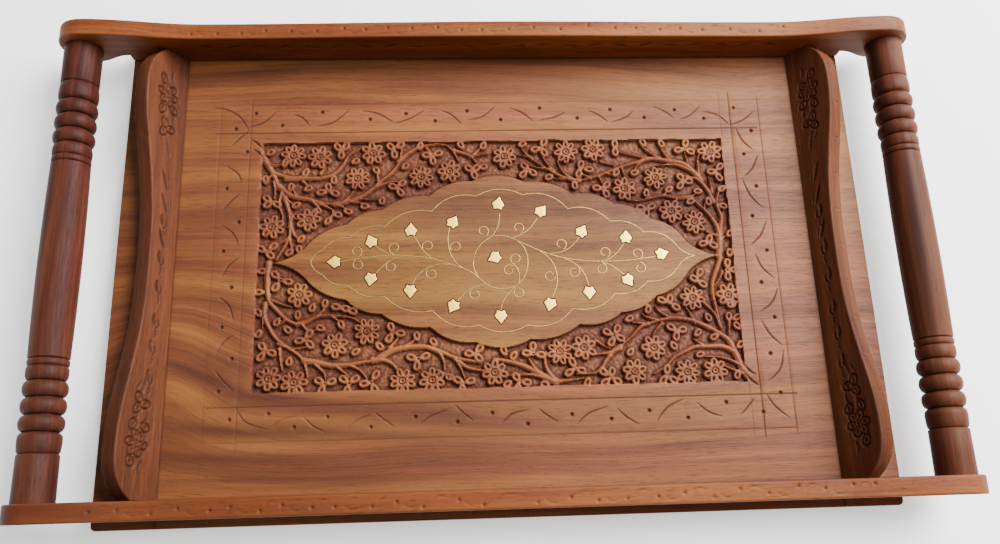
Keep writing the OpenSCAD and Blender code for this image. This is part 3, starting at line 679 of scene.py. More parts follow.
# The lower side of the panel is carved with its own pattern
LOW_FLOWERS = [(-114, -19), (-93.5, -48.5), (-75.5, -41), (-129.5, -66.5), (-115.5, -69), (-55.5, -69.5),
    (-39, -69.5), (-4, -66), (33, -55), (47, -53), (133, -24), (112, -25.5), (87, -54), (75, -67.5),
    (105, -68.5), (121, -68)]
LOW_BLOSSOMS = [((-125, -10), (-128, -7), (-121, -11), (-127.5, -14)),
    ((-90, -27), (-93, -26.5), (-88, -27.5), (-84, -29)),
    ((-110, -45), (-108, -42), (-113, -45.5), (-107.5, -47.5)),
    ((-131.5, -51), (-133.5, -48.5), (-134, -54), (-128.5, -52)),
    ((-98.5, -70), (-101.5, -68.5), (-95, -69), (-100, -73.5)),
    ((-85, -70), (-88, -68), (-82, -68), (-86, -74)),
    ((-73, -70), (-70.5, -66), (-76.5, -70.5), (-71, -73.5)),
    ((-61, -42), (-62, -39), (-57, -42.5), (-63, -45)),
    ((-47, -57.5), (-50.5, -56.5), (-43, -56), (-47.5, -61)),
    ((-15, -55.5), (-18, -55), (-12.5, -52.5), (-13, -57.5)),
    ((-22, -71.5), (-24.5, -70), (-18, -70.5), (-22.5, -75)),
    ((9.5, -71.5), (8, -69), (13.5, -72), (8.5, -75)), ((18, -56), (14.5, -55.5), (18, -52), (22, -56.5)),
    ((41.5, -65), (40, -61.5), (38, -67), (44.5, -66)),
    ((61.5, -70.5), (58, -73), (64.5, -72.5), (62, -67.5), (57.5, -67.5)),
    ((65, -46.5), (61, -44.5), (66.5, -43), (63, -50), (68, -48)),
    ((134, -9), (134.5, -5), (138, -9), (134, -12.5)),
    ((115.5, -15), (117.5, -10.5), (114, -14), (118.5, -17)),
    ((101, -44.5), (98, -42.5), (104, -44), (100.5, -47.5)),
    ((93, -70), (93.5, -67), (91, -72.5), (96.5, -72.5)),
    ((98, -28), (94, -26.5), (98.5, -26), (101.5, -30.5))]
LOW_BUDS = [(-106.5, -26.5), (-99.5, -24.5), (-114.5, -31), (-126, -34.5), (-120, -39), (-101.5, -38.5),
    (-90, -37), (-81.5, -52.5), (-68.5, -49.5), (-118.5, -57), (-136, -41), (-136.5, -29), (-136.5, -17),
    (-136, -4.5), (-38, -48), (-47.5, -44.5), (1.5, -54), (7, -56.5), (24, -73.5), (48, -72.5), (-29, -68),
    (3, -72.5), (120, -37), (132, -37), (136.5, -37.5), (136.5, -42.5), (137, -53.5), (122.5, -48.5),
    (113, -46), (98.5, -53), (73.5, -56), (113.5, -58.5), (133.5, -70.5), (85.5, -31.5), (74, -37),
    (134.5, -30)]
LOW_STEMS = {
    (4.6, 3.2): [
        [(-132, 0), (-132.5, -8), (-132, -16), (-131, -22), (-127, -27), (-121, -33), (-115, -36)]],
    (3.6, 1.6): [
        [(-115, -36), (-109, -34.5), (-104, -32), (-97, -31.5), (-90, -32), (-84, -33), (-79, -36)],
        [(-41, -51), (-35, -54), (-32.5, -59), (-32, -64)]],
    (2.6, 1.2): [[(-129, -22), (-123, -24.5), (-118, -26)], [(-125, -47), (-117, -50), (-108, -49)],
        [(-93, -60), (-88, -64), (-85, -67)], [(-104, -32), (-100, -28), (-99, -25)],
        [(-112, -36), (-108, -40), (-102, -39)], [(8, -61), (6, -58)], [(54, -49), (58, -52), (62, -54)],
        [(131, -10), (129, -14), (126, -18)], [(112, -40), (109, -33), (107, -30)],
        [(98, -37), (92, -33), (90, -30)], [(90, -38), (84, -36), (82, -34)], [(82, -40), (76, -39)],
        [(93, -40), (89, -44), (87, -47)], [(115, -53), (110, -49)]],
    (3.8, 2.2): [
        [(-133, -24), (-133, -31), (-130, -38), (-126, -44), (-120, -49), (-114, -53), (-110, -58),
            (-108, -66)]],
    (4.6, 2.6): [[(-110, -57), (-103, -58), (-95, -60), (-87, -60), (-80, -59), (-74, -58), (-66, -57)]],
    (2.8, 1.2): [[(-104, -59), (-99, -64), (-98, -68)], [(-85, -60), (-79, -63), (-75, -68)],
        [(-63, -51), (-59.5, -47), (-57.5, -44)], [(-54, -50), (-50, -47.5), (-48, -45.5)],
        [(-26, -58), (-23, -63), (-21, -68.5)], [(137, -66), (130, -62), (122, -60), (116, -60)],
        [(137, -70), (130, -67), (126, -65)]],
    (2.8, 1.4): [[(-124, -50), (-123, -57), (-122, -62)], [(132, -40), (131, -48)],
        [(118, -28), (124, -35), (126, -42)]],
    (2.6, 1.0): [[(-133.5, -28), (-134, -38)]],
    (2.4, 1.2): [[(-121, -33), (-124, -36)], [(-95, -32), (-91, -35)],
        [(-36, -64), (-30, -67), (-27, -71)]],
    (4.4, 3.0): [
        [(-68, -56), (-62, -52.5), (-56, -51), (-48, -50.3), (-40, -51), (-33, -54), (-25, -57.5),
            (-12, -60)]],
    (4.6, 2.2): [[(-72, -57.5), (-66, -57.5), (-61, -60), (-58, -64)]],
    (3.4, 2.2): [[(-24, -59.5), (-19, -63), (-13, -64.5), (-8, -65)]],
    (5.6, 3.0): [[(30, -72), (25, -69.5), (19, -66), (12, -62.5), (4, -60), (-4, -58.5)]],
    (3.4, 1.6): [[(25, -70), (18, -68), (10, -67.5), (4, -68)]],
    (3.2, 1.4): [[(20, -66), (17, -61.5), (15.5, -58.5)]],
    (3.8, 1.6): [[(29, -70), (25.5, -65), (24.5, -60), (25.5, -55)],
        [(68, -53), (63, -56), (60, -60), (57, -64), (53, -67.5), (47, -68), (42, -68)]],
    (4.0, 1.4): [[(29, -72), (37, -71.5), (46, -70.5)]],
    (3.0, 1.4): [[(68, -54), (61, -56.3), (55, -57), (50.5, -57)]],
    (3.0, 1.6): [[(62, -58), (58, -62), (58, -68)], [(85, -40), (80, -42), (75, -47), (68, -53)]],
    (3.4, 3.0): [[(131, -1), (128, -8), (125, -15), (124, -22), (125, -30), (126, -38), (127, -43)]],
    (6.0, 3.4): [[(142, -75), (137, -67), (134.5, -60), (131, -51), (125, -46), (119, -42)]],
    (3.6, 2.6): [[(120, -43), (113, -39.5), (108, -38), (100, -37), (92, -38), (85, -40)]],
    (4.0, 1.8): [
        [(133, -57), (126, -54), (118, -54), (111, -54), (104, -57), (98, -60), (93, -65), (86, -69)]]}


def carve_panel(c):
    """Flowers and stems that stand up from the sunk ground of the panel."""
    u, v = c.u, c.v
    nothing = -PANEL_D - 1
    relief = np.full(u.shape, -PANEL_D)
    relief += 0.35 * blur(rng.normal(size=u.shape), 1, 1) + 0.5 * blur(rng.normal(size=u.shape), 3, 2)
    relief = np.clip(relief, -PANEL_D - 0.3, -PANEL_D + 0.7)

    def raise_to(w, height):
        relief[w] = np.maximum(relief[w], height)

    def petal(x, y, along, across, turn, top):
        """A drop-shaped petal, wide end outwards, with a narrow scooped hollow."""
        size = max(along, across) * 1.1
        w = c.window((x - size, y - size), (x + size, y + size))
        dx, dy = u[w] - x, v[w] - y
        a = (dx * math.cos(turn) + dy * math.sin(turn)) / along
        b = (dy * math.cos(turn) - dx * math.sin(turn)) / across / (0.85 + 0.15 * np.clip(a, -1, 1))
        r = np.hypot(a, b)
        height = top - 0.6 * np.clip((r - 0.65) / 0.35, 0, 1) ** 2
        height -= 1.2 * step((1 - np.hypot((a - 0.12) / 0.62, b / 0.42)) / 0.7)
        raise_to(w, np.where(r < 1, height, nothing))

    def stem(foot, tip, points):
        """A round-backed stem that tapers and sinks a little towards its tip."""
        line = catmull(points, 5) if len(points) > 2 else np.array(points, float)
        n = len(line) - 1
        for i in range(n):
            a, b = line[i], line[i + 1]
            w = c.window(np.minimum(a, b) - foot, np.maximum(a, b) + foot)
            d, t = segment_distance(u[w], v[w], a, b)
            along = (i + t) / n
            half = (foot + (tip - foot) * along ** 0.7) / 2
            height = -0.05 - 0.3 * along - 1.2 * (d / half) ** 1.2
            raise_to(w, np.where(d < half, height, nothing))

    for stems, at_foot, at_tip in ((STEMS, 1.15, 0.6), (LOW_STEMS, 0.95, 0.75)):
        for (foot, tip), lines in stems.items():
            for points in lines:
                stem(at_foot * foot, at_tip * tip, points)
    for i, (x, y) in enumerate(FLOWERS + LOW_FLOWERS):
        count = 8 if i % 3 == 0 else 7
        start = rng.uniform(0, 2 * math.pi)
        for k in range(count):
            a = start + 2 * math.pi * k / count + rng.normal() * 0.05
            reach = 4.5 + rng.normal() * 0.2
            top = -0.25 * rng.random()
            petal(x + reach * math.cos(a), y + reach * math.sin(a), 3.1, 18.5 / count, a, top)
        eye = c.window((x - 2.2, y - 2.2), (x + 2.2, y + 2.2))
        r = np.hypot(u[eye] - x, v[eye] - y)
        relief[eye] = np.where(r < 2.1, -0.9, relief[eye])
        raise_to(eye, np.where(r < 1.6, -0.1 - 0.9 * step((0.9 - r) / 0.6), nothing))
    for centre, *petals in BLOSSOMS + LOW_BLOSSOMS:
        for px, py in petals:
            a = math.atan2(py - centre[1], px - centre[0])
            petal(px, py, 3.4, 2.8, a, -0.1 - 0.2 * rng.random())
        petal(*centre, 1.6, 1.6, 0, -0.4)
    for x, y in BUDS + LOW_BUDS:
        petal(x, y, 3.1, 2.6, rng.uniform(0, 2 * math.pi), -0.2 - 0.2 * rng.random())

    # The panel's hand-cut edge, and the edge of the medallion that stays at the top
    wobble = 0.6 * blur(rng.normal(size=u.shape), 5, 2) * 5
    edge = np.minimum(PANEL_L / 2 - np.abs(u), PANEL_W / 2 - np.abs(v)) + wobble
    box = c.window((-PANEL_L / 2, -PANEL_W / 2), (PANEL_L / 2, PANEL_W / 2))
    medallion = np.full(u.shape, -99.0)
    medallion[box] = polygon_distance(u[box], v[box], scallops(MEDALLION_RIGHT, MEDALLION_LEFT))
    edge = np.minimum(edge, -medallion)
    c.height = relief * step(edge / 0.55)
    return medallion


# Gouge cuts of the border's wave, three or four points each: top, bottom, left and right side
ARCS = [((-168, 97.5), (-160, 96), (-153, 91.5), (-147, 82)), ((-120, 93), (-115, 90.5), (-111, 85.5)),
        ((-79, 95), (-70, 93), (-61.5, 87.5)), ((-32, 95), (-26, 92), (-20, 86)),
        ((10, 96), (17, 93), (23.5, 87.5)), ((58, 94), (64, 91), (69.5, 86.5)),
        ((99, 96), (105, 93), (110, 89)), ((129, 92.5), (138, 90), (144.5, 83.5)),
        ((-147, 86), (-139, 88), (-131, 95.5)), ((-106, 86), (-97, 88), (-88, 96)),
        ((-60, 87), (-51, 90), (-43, 95)), ((-15, 89), (-7, 91), (0, 97)), ((28, 88), (37, 90), (43, 93)),
        ((72, 86.5), (80, 89), (85, 93)), ((115, 88), (121, 90.5), (127, 96)),
        ((146, 84), (154, 87), (160, 92)), ((-145, -83), (-140, -90), (-128, -94)),
        ((-109, -88), (-104, -93), (-98, -96)), ((-70, -87), (-65, -91), (-60, -94.5)),
        ((-26, -84), (-22, -88), (-17, -92)), ((20, -87), (25, -91), (30, -94)),
        ((64, -88), (69, -93), (75, -96.5)), ((109, -86), (115, -91), (122, -93.5)),
        ((149, -82), (153, -89), (160, -95)), ((-125, -92), (-120, -89), (-113, -87.5)),
        ((-85, -94), (-79, -90), (-73, -88)), ((-45, -93), (-39, -89), (-31, -86.5)),
        ((0, -94), (5, -89.5), (14, -87.5)), ((42, -95), (48, -90), (58, -87)),
        ((86, -95), (92, -88), (101, -84)), ((133, -93), (138, -88), (141, -84.5)),
        ((-148, 82), (-152, 78), (-156, 73.5)), ((-158, 59.5), (-152, 55), (-150, 50)),
        ((-151, 41.5), (-155, 38), (-159, 33)), ((-159, 23), (-153, 18), (-150, 12)),
        ((-149, 3), (-154, -1), (-157, -7)), ((-158, -20), (-153, -25), (-150, -33)),
        ((-150, -42), (-155, -46), (-158, -52)), ((-158, -62), (-154, -67), (-149, -72)),
        ((149, 81), (152, 73), (158, 67)), ((160, 63), (156, 55), (151, 50)),
        ((149.5, 47), (153, 37), (159, 30)), ((160, 20), (156, 12), (150, 6.5)),
        ((152, 0), (155, -8), (161, -14)), ((162, -21), (158, -29), (151, -34)),
        ((151, -40), (155, -48), (161, -54)), ((161, -58), (158, -68), (151, -74))]


BORDER_DOTS = [(-155, 84), (-143.5, 94), (-127.5, 86), (-103.5, 94.5), (-75, 89.5), (-53.5, 93), (-36, 88),
    (-16.5, 94.5), (3.5, 88.5), (28, 96), (51, 89), (71.5, 94.5), (92, 89), (111.5, 94), (129, 88),
    (148.5, 95), (158, 79.5), (152, 64), (157, 43), (152.5, 24), (158.5, 2.5), (153.5, -17), (158.5, -38),
    (154, -59), (156.5, -81.5), (146, -92), (125, -86), (103, -94), (81.5, -89.5), (60, -93.5), (38, -90.5),
    (13.5, -95), (-6, -88.5), (-25, -93), (-48.5, -89.5), (-72.5, -94.5), (-96.5, -88.5), (-114.5, -93.5),
    (-128.5, -86), (-149, -88.5), (-156, -73), (-150, -55), (-156.5, -37), (-152.5, -14), (-158, 7.5),
    (-150, 25), (-158, 46), (-147.5, 69)]
# Scribed lines: from, to, width, depth
SCRIBED = [((-166, 81), (162, 81.5), 0.9, 0.4), ((-147, 99.5), (166, 100.5), 0.9, 0.22),
    ((-162, -82), (166, -82), 0.9, 0.4), ((-158, -101), (164, -101), 0.9, 0.25),
    ((-145.5, -106), (-145.5, 104), 0.9, 0.22), ((-163.5, -102), (-163.5, 99), 0.9, 0.14),
    ((145.7, -106), (145.7, 106), 0.9, 0.4), ((163.7, -104), (163.7, 104), 0.9, 0.25),
    ((139.5, 76), (139.5, 105), 0.8, 0.15), ((139.5, -104), (139.5, -76), 0.8, 0.15)]


def carve_border(c):
    """Scribed lines, drilled dots, the wave of gouge cuts, and two cuts in from two corners."""
    for a, b, width, depth in SCRIBED:
        c.gouge([a, b], width, depth, even=True)
    for x, y in BORDER_DOTS:
        c.dot(x + rng.normal() * 0.2, y, 1.25 + 0.15 * rng.random(), 1.3)
    for points in ARCS:
        middle = np.mean(points, axis=0)
        c.gouge((middle + (np.array(points) - middle) * 1.14).tolist(), 1.15, 0.5)
    for turned in (1, -1):
        for points in (((-145, 77), (-141, 74), (-137, 69)), ((-144, 71), (-140, 68), (-136.5, 63))):
            c.gouge([(x * turned, y * turned) for x, y in points], 1.6, 0.7)


def inset_line(half, fine_half, fine, coarse):
    """Grid lines from -half to half: fine in the middle, coarse outside, dense at the rim."""
    middle = np.linspace(-fine_half, fine_half, int(round(2 * fine_half / fine)) + 1)
    outer = np.linspace(fine_half, half - CORNER_R, int((half - fine_half) / coarse) + 1)[1:]
    rim = half - np.array([2.0, 1.2, 0.6, 0.35, 0.15, 0.0])
    side = np.concatenate([outer, rim])
    return np.concatenate([-side[::-1], middle, side])


def board_top(u, v, height):
    """Points of the board's upper side, with a rounded arris and rounded corners."""
    d = np.minimum(BOARD_L / 2 - np.abs(u), BOARD_W / 2 - np.abs(v))
    height = height - (ARRIS - np.sqrt(ARRIS ** 2 - np.clip(ARRIS - d, 0, ARRIS) ** 2))
    straight_u, straight_v = BOARD_L / 2 - CORNER_R, BOARD_W / 2 - CORNER_R
    cu = np.clip((np.abs(u) - straight_u) / CORNER_R, 0, 1)
    cv = np.clip((np.abs(v) - straight_v) / CORNER_R, 0, 1)
    corner = (cu > 0) & (cv > 0)
    x = np.where(corner, np.sign(u) * (straight_u + CORNER_R * cu * np.sqrt(1 - cv ** 2 / 2)), u)
    y = np.where(corner, np.sign(v) * (straight_v + CORNER_R * cv * np.sqrt(1 - cu ** 2 / 2)), v)
    return np.stack([x, y, BOARD_T + height], -1).reshape(-1, 3)


def close_board(top, rows, columns):
    """The whole board from its upper side: the sides too, and the underside with the screws' counterbores."""
    faces = grid_faces(rows, columns).tolist()
    index = np.arange(rows * columns).reshape(rows, columns)
    loop = np.concatenate([index[0, :-1], index[:-1, -1], index[-1, :0:-1], index[:0:-1, 0]])
    n, first = len(loop), len(top)
    low_rim, inset = top[loop], top[loop]
    low_rim[:, 2] = ARRIS
    inset[:, :2] *= 1 - ARRIS / np.array([BOARD_L / 2, BOARD_W / 2])
    inset[:, 2] = 0
    for k in range(n):
        m = (k + 1) % n
        faces.append([int(loop[k]), first + k, first + m, int(loop[m])])
        faces.append([first + k, first + n + k, first + n + m, first + m])
    points = [top, low_rim, inset]

    centres = [(x, side * (RAIL_Y + RAIL_T / 2)) for side in (-1, 1) for x in LONG_SCREWS]
    centres += [(side * END_SCREW_X, y) for side in (-1, 1) for y in END_SCREWS]
    turn = np.linspace(0, 2 * math.pi, HOLE_SIDES, endpoint=False)
    circle = np.stack([np.cos(turn), np.sin(turn)], 1) * HEAD_R
    flat = [Vector(p) for p in inset[:, :2].tolist()]
    edges = [(k, (k + 1) % n) for k in range(n)]
    for cx, cy in centres:
        here = len(flat)
        flat += [Vector((cx + a, cy + b)) for a, b in circle.tolist()]
        edges += [(here + k, here + (k + 1) % HOLE_SIDES) for k in range(HOLE_SIDES)]
        hole = np.column_stack([circle + (cx, cy), np.zeros(HOLE_SIDES)])
        points += [hole, hole + (0, 0, SINK + 0.05)]
    points = np.vstack(points)

    # Triangles of the underside outside the holes; each hole has a mouth and a floor
    start = first + 2 * n
    number = []
    _, _, triangles, origin, _, _ = geometry.delaunay_2d_cdt(flat, edges, [], 0, 1e-5, True)
    for ids in origin:
        hole, k = divmod(ids[0] - n, HOLE_SIDES)
        number.append(first + n + ids[0] if ids[0] < n else start + hole * 2 * HOLE_SIDES + k)
    for triangle in triangles:
        ids = [number[k] for k in triangle]
        mid = points[ids].mean(0)
        if all((mid[0] - cx) ** 2 + (mid[1] - cy) ** 2 > (HEAD_R - 0.2) ** 2 for cx, cy in centres):
            faces.append(ids[::-1])
    for i in range(len(centres)):
        mouth = start + 2 * HOLE_SIDES * i
        floor = mouth + HOLE_SIDES
        for k in range(HOLE_SIDES):
            m = (k + 1) % HOLE_SIDES
            faces.append([mouth + k, floor + k, floor + m, mouth + m])
        faces.append([floor + k for k in range(HOLE_SIDES)])
    return points, faces


def write_fields(mesh, xs, ys, **fields):
    """Give the mesh's upper vertices the values of fields over the grid, as attributes for the shader."""
    co = read_all(mesh.vertices, "co", 3) / MM
    upper = co[:, 2] > BOARD_T - PANEL_D - 1
    column = np.interp(co[:, 0], xs, np.arange(len(xs)))
    row = np.interp(co[:, 1], ys, np.arange(len(ys)))
    i, j = np.minimum(row.astype(int), len(ys) - 2), np.minimum(column.astype(int), len(xs) - 2)
    a, b = row - i, column - j
    for label, field in fields.items():
        value = (field[i, j] * (1 - a) * (1 - b) + field[i + 1, j] * a * (1 - b)
                 + field[i, j + 1] * (1 - a) * b + field[i + 1, j + 1] * a * b)
        values = mesh.attributes.new(label, "FLOAT", "POINT").data
        values.foreach_set("value", np.where(upper, value, 0).astype(np.float32))


def make_board():
    """The carved board: a fine grid where it is carved, thinned out after the carving."""
    fine = 0.46
    xs = inset_line(BOARD_L / 2, 166.5, fine, 3.5)
    ys = inset_line(BOARD_W / 2, 107, fine, 3.5)
    u, v = np.meshgrid(xs, ys)
    c = Carving(u, v)
    medallion = carve_panel(c)
    carve_border(c)
    for i, (x, y, _) in enumerate(LEAVES):
        w = c.window((x - 7, y - 7), (x + 7, y + 7))
        inside = polygon_distance(u[w], v[w], leaf_outline(i))
        c.height[w] = np.minimum(c.height[w], -LEAF_T * step((inside - 0.1) / 0.6))

    # How deep each point lies among its neighbours, for painted shade in the hollows (with some dirt and wax)
    # and a painted highlight on raised tops, and its zone: 1 in the medallion, -1 in the carved panel, 0
    # elsewhere
    height = c.height
    hollow = np.clip((blur(height, max(1, int(1.2 / fine))) - height) / 0.75, -1, 1.1)
    # The deeper ground of the panel gets more painted shade
    hollow += 0.85 * np.clip(-height / PANEL_D - 0.45, 0, 0.55)
    border = (np.abs(u) > PANEL_L / 2 + 1) | (np.abs(v) > PANEL_W / 2 + 1)
    zone = np.where(border, 0.0, 2 * step(medallion / 0.6 + 0.5) - 1)
    # In the border, the scribed lines, dots and gouges get painted shade by their depth
    hollow = np.where(border, np.clip(-height / 0.32, 0, 0.9), hollow)

    points, faces = close_board(board_top(u, v, height), *u.shape)
    board = make_piece("carved_board", points, faces, board_material, ["base_board"])
    slim = board.modifiers.new("slim", "DECIMATE")
    slim.ratio = 0.36
    bpy.context.view_layer.objects.active = board
    with bpy.context.temp_override(object=board, active_object=board):
        bpy.ops.object.modifier_apply(modifier="slim")
    board.data.set_sharp_from_angle(angle=math.radians(50))
    level = board.modifiers.new("level", "WEIGHTED_NORMAL")
    level.keep_sharp = True
    level.weight = 90
    write_fields(board.data, xs, ys, cavity=hollow, zone=zone)
    unfold(board)


# ---------------------------------------------------------------- plates: the four rails
def make_plate(name, stations, top, low, thickness, place, face_cut, edge_cut, material, node,
               face_rows, round_low=True):
    """A plate along its stations, with rounded arrises, a carved face and a carved upper edge.

    top, low: heights at the stations. place: makes points from station, height and depth.
    face_cut, edge_cut: depths of the carving in the face, and in the upper edge.
    """
    n = len(stations)
    radius = 1.0
    turn = np.radians([0, 22, 45, 68, 90])
    near = radius * (1 - np.cos(turn))
    inset = radius * (1 - np.sin(turn))
    count = int((thickness - 2 * radius) / 0.62)
    middle = np.linspace(radius, thickness - radius, count)[1:-1]
    layers = np.concatenate([near, middle, thickness - near[::-1]])
    insets = np.concatenate([inset, 0 * middle, inset[::-1]])
    chain_top = np.stack([stations, top], 1)
    chain_low = np.stack([stations, low], 1)
    loop = np.vstack([chain_low, chain_top[::-1]])
    way = np.roll(loop, -1, 0) - np.roll(loop, 1, 0)
    size = np.maximum(np.hypot(way[:, 0], way[:, 1]), 1e-9)[:, None]
    outward = np.stack([way[:, 1], -way[:, 0]], 1) / size
    if abs(top[0] - low[0]) < 0.01:
        outward[[0, -1]] = (-1, 0)
        outward[[n - 1, n]] = (1, 0)
    normal_low, normal_top = outward[:n], outward[n:][::-1]
    step_down = np.abs(np.diff(low)) > 3
    normal_low[np.append(step_down, False) | np.append(False, step_down)] = (0, -1)

    # cavity: how deep each point is cut, which the shader turns into painted shade in the cuts
    points, cavity, faces = [], [], []
    count_layers = len(layers)
    edge_depth = edge_cut(np.repeat(stations[None], count_layers, 0), np.repeat(layers[:, None], n, 1))
    for j in range(count_layers):
        a = chain_low - normal_low * (insets[j] if round_low else 0)
        b = chain_top - normal_top * (insets[j] - np.minimum(edge_depth[j], 0)[:, None])
        if not round_low:
            a = a + np.array([0, 1]) * layers[j] * math.tan(SPLAY)
        ring = np.vstack([a, b[::-1]])
        points.append(place(ring[:, 0], ring[:, 1], np.full(2 * n, layers[j])))
        cavity.append(np.concatenate([np.zeros(n), -edge_depth[j][::-1]]))
        if j == 0:
            first = (a, b)
        last = (a, b)
    loop_n = 2 * n
    for j in range(count_layers - 1):
        for k in range(loop_n):
            m = (k + 1) % loop_n
            faces.append((j * loop_n + k, j * loop_n + m, (j + 1) * loop_n + m, (j + 1) * loop_n + k))
    start = count_layers * loop_n
    # The carved face, and the plain one behind it
    for (a, b), depth, cut in ((first, 0.0, face_cut), (last, thickness, None)):
        rows = face_rows if cut else 4
        share = np.linspace(0, 1, rows + 1)
        across = a[None] + (b - a)[None] * share[:, None, None]
        t = np.full(across.shape[:2], depth)
        shade = np.zeros(across.shape[:2])
        if cut is not None:
            carved = cut(across[..., 0], across[..., 1])
            carved[[0, -1]] = 0
            t = t - carved
            shade = -np.maximum(carved, -1.5)
        points.append(place(across[..., 0].ravel(), across[..., 1].ravel(), t.ravel()))
        cavity.append(shade.ravel())
        block = grid_faces(rows + 1, n) + start
        faces += block.tolist()
        start += (rows + 1) * n
    thing = make_piece(name, np.vstack(points), faces, material, [node], sharp=38)
    mesh = thing.data

    # Cavity values go back on by place, because merging the seams renumbered the points
    where = np.vstack(points) * MM
    tree = kdtree.KDTree(len(where))
    for i, p in enumerate(where.tolist()):
        tree.insert(p, i)
    tree.balance()
    shades = np.concatenate(cavity)
    values = [shades[tree.find(v.co)[1]] for v in mesh.vertices]
    mesh.attributes.new("cavity", "FLOAT", "POINT").data.foreach_set("value", np.array(values, np.float32))
    unfold(thing)


def ease(a, b, t):
    """From a to b along half a cosine wave."""
    return a + (b - a) * (1 - np.cos(math.pi * np.clip(t, 0, 1))) / 2


def rail_profile(x):
    """Upper and lower edge of a long rail: a low hump, and round ends that reach past the board."""
    a = np.abs(x)
    low_z = RAIL_END_H - 2 * RAIL_END_R
    top = np.where(a < 170, ease(26.5, 24.6, a / 170), ease(24.6, RAIL_END_H, (a - 170) / (RAIL_END_X - 170)))
    bulge = np.sqrt(np.clip(RAIL_END_R ** 2 - np.clip(a - RAIL_END_X, 0, RAIL_END_R) ** 2, 0, None))
    top = np.where(a > RAIL_END_X, low_z + RAIL_END_R + bulge, top)
    arch = BOARD_L / 2 + 1
    low = np.where(a <= BOARD_L / 2, 0, ease(5.8, low_z, (a - arch) / (RAIL_END_X - arch)))
    low = np.where(a > RAIL_END_X, low_z + RAIL_END_R - bulge, low)
    return top, low


BACK_DOTS = [(-177, 3), (-162, 3.2), (-148, 3.4), (-134, 5), (-119, 4.5), (-104, 4.5), (-88, 6), (-75.5, 5),
    (-62.5, 6), (-48, 5.5), (-33, 6), (-19, 4), (-7, 4), (9, 4.5), (24, 5.5), (40, 4.5), (57, 7), (73, 5.5),
    (85.5, 5.5), (100, 4.5), (112.5, 5.5), (126, 4.5), (143, 5), (161, 3.5), (176, 6.5)]
FRONT_DOTS = [(-208, 5), (-195, 4.5), (-179, 6.5), (-166, 4.6), (-150, 6), (-140, 4.5), (-125, 7),
    (-114, 4.5), (-99, 6), (-87.5, 6), (-69, 6.5), (-56.5, 4.5), (-43, 7.5), (-25, 4.5), (-12.5, 7.5),
    (15, 7), (32, 5), (46, 7), (61, 6.5), (77, 6), (91, 4.5), (106, 7), (120, 3.5), (135, 6), (151, 3),
    (165, 4.5), (180, 3), (191, 3)]


def make_long_rail(side, name, node, dots):
    """A long rail on edge: waves and dots along its top, gouged marks and two bores in its inner face."""
    spacing = 0.75
    inner = np.linspace(-RAIL_END_X, RAIL_END_X, int(2 * RAIL_END_X / spacing))
    extra = np.array([BOARD_L / 2 - 0.01, BOARD_L / 2 + 0.01])
    round_end = RAIL_END_X + RAIL_END_R * np.sin(np.linspace(0, math.pi / 2, 26))[1:]
    stations = np.sort(np.concatenate([inner, extra, -extra, round_end, -round_end]))
    top, low = rail_profile(stations)

    def edge_cut(a, t):
        c = Carving(a, t)
        order = sorted(dots)
        for i, (x, v) in enumerate(order):
            c.dot(x, v, 1.1, 1.0)
            if i + 1 < len(order):
                gap = order[i + 1][0] - x
                high = 7.6 if i % 2 else 2.4
                wave = [(x + 0.2 * gap, 5), (x + 0.45 * gap, high), (x + 0.8 * gap, 0.6 * high + 2)]
                c.gouge(wave, 1.1, 0.35)
        return c.height

    def face_cut(a, h):
        c = Carving(a, h)
        for i in range(23):
            x = -170 + 15.5 * i
            tilt = 1.3 if i % 2 else -0.8
            z = 14.6 + 0.5 * math.sin(3 * i)
            c.gouge([(x - 4, z - tilt), (x, z + 0.4), (x + 4, z + tilt)], 3.0, 1.1)
        for x in (-HANDLE_X, HANDLE_X):
            bore = np.hypot(a - x, h - (HANDLE_Z - BOARD_T)) < 6.4
            c.height = np.where(bore, -6.3, c.height)
        return c.height

    def place(a, h, t):
        return np.stack([a, side * (RAIL_Y + t), BOARD_T + h], -1)

    make_plate(name, stations, top, low, RAIL_T, place, face_cut, edge_cut, rail_material,
               node, face_rows=24)


def end_profile(y):
    """Upper edge of an end rail: low in the middle, with a hump near each end."""
    a = np.abs(y)
    hump = 101
    inner = ease(17.2, 28.2, (a / hump) ** 1.4)
    outer = 28.2 - 12.2 * np.clip((a - hump) / (RAIL_Y - hump), 0, 1) ** 3.2
    return np.where(a < hump, inner, outer)


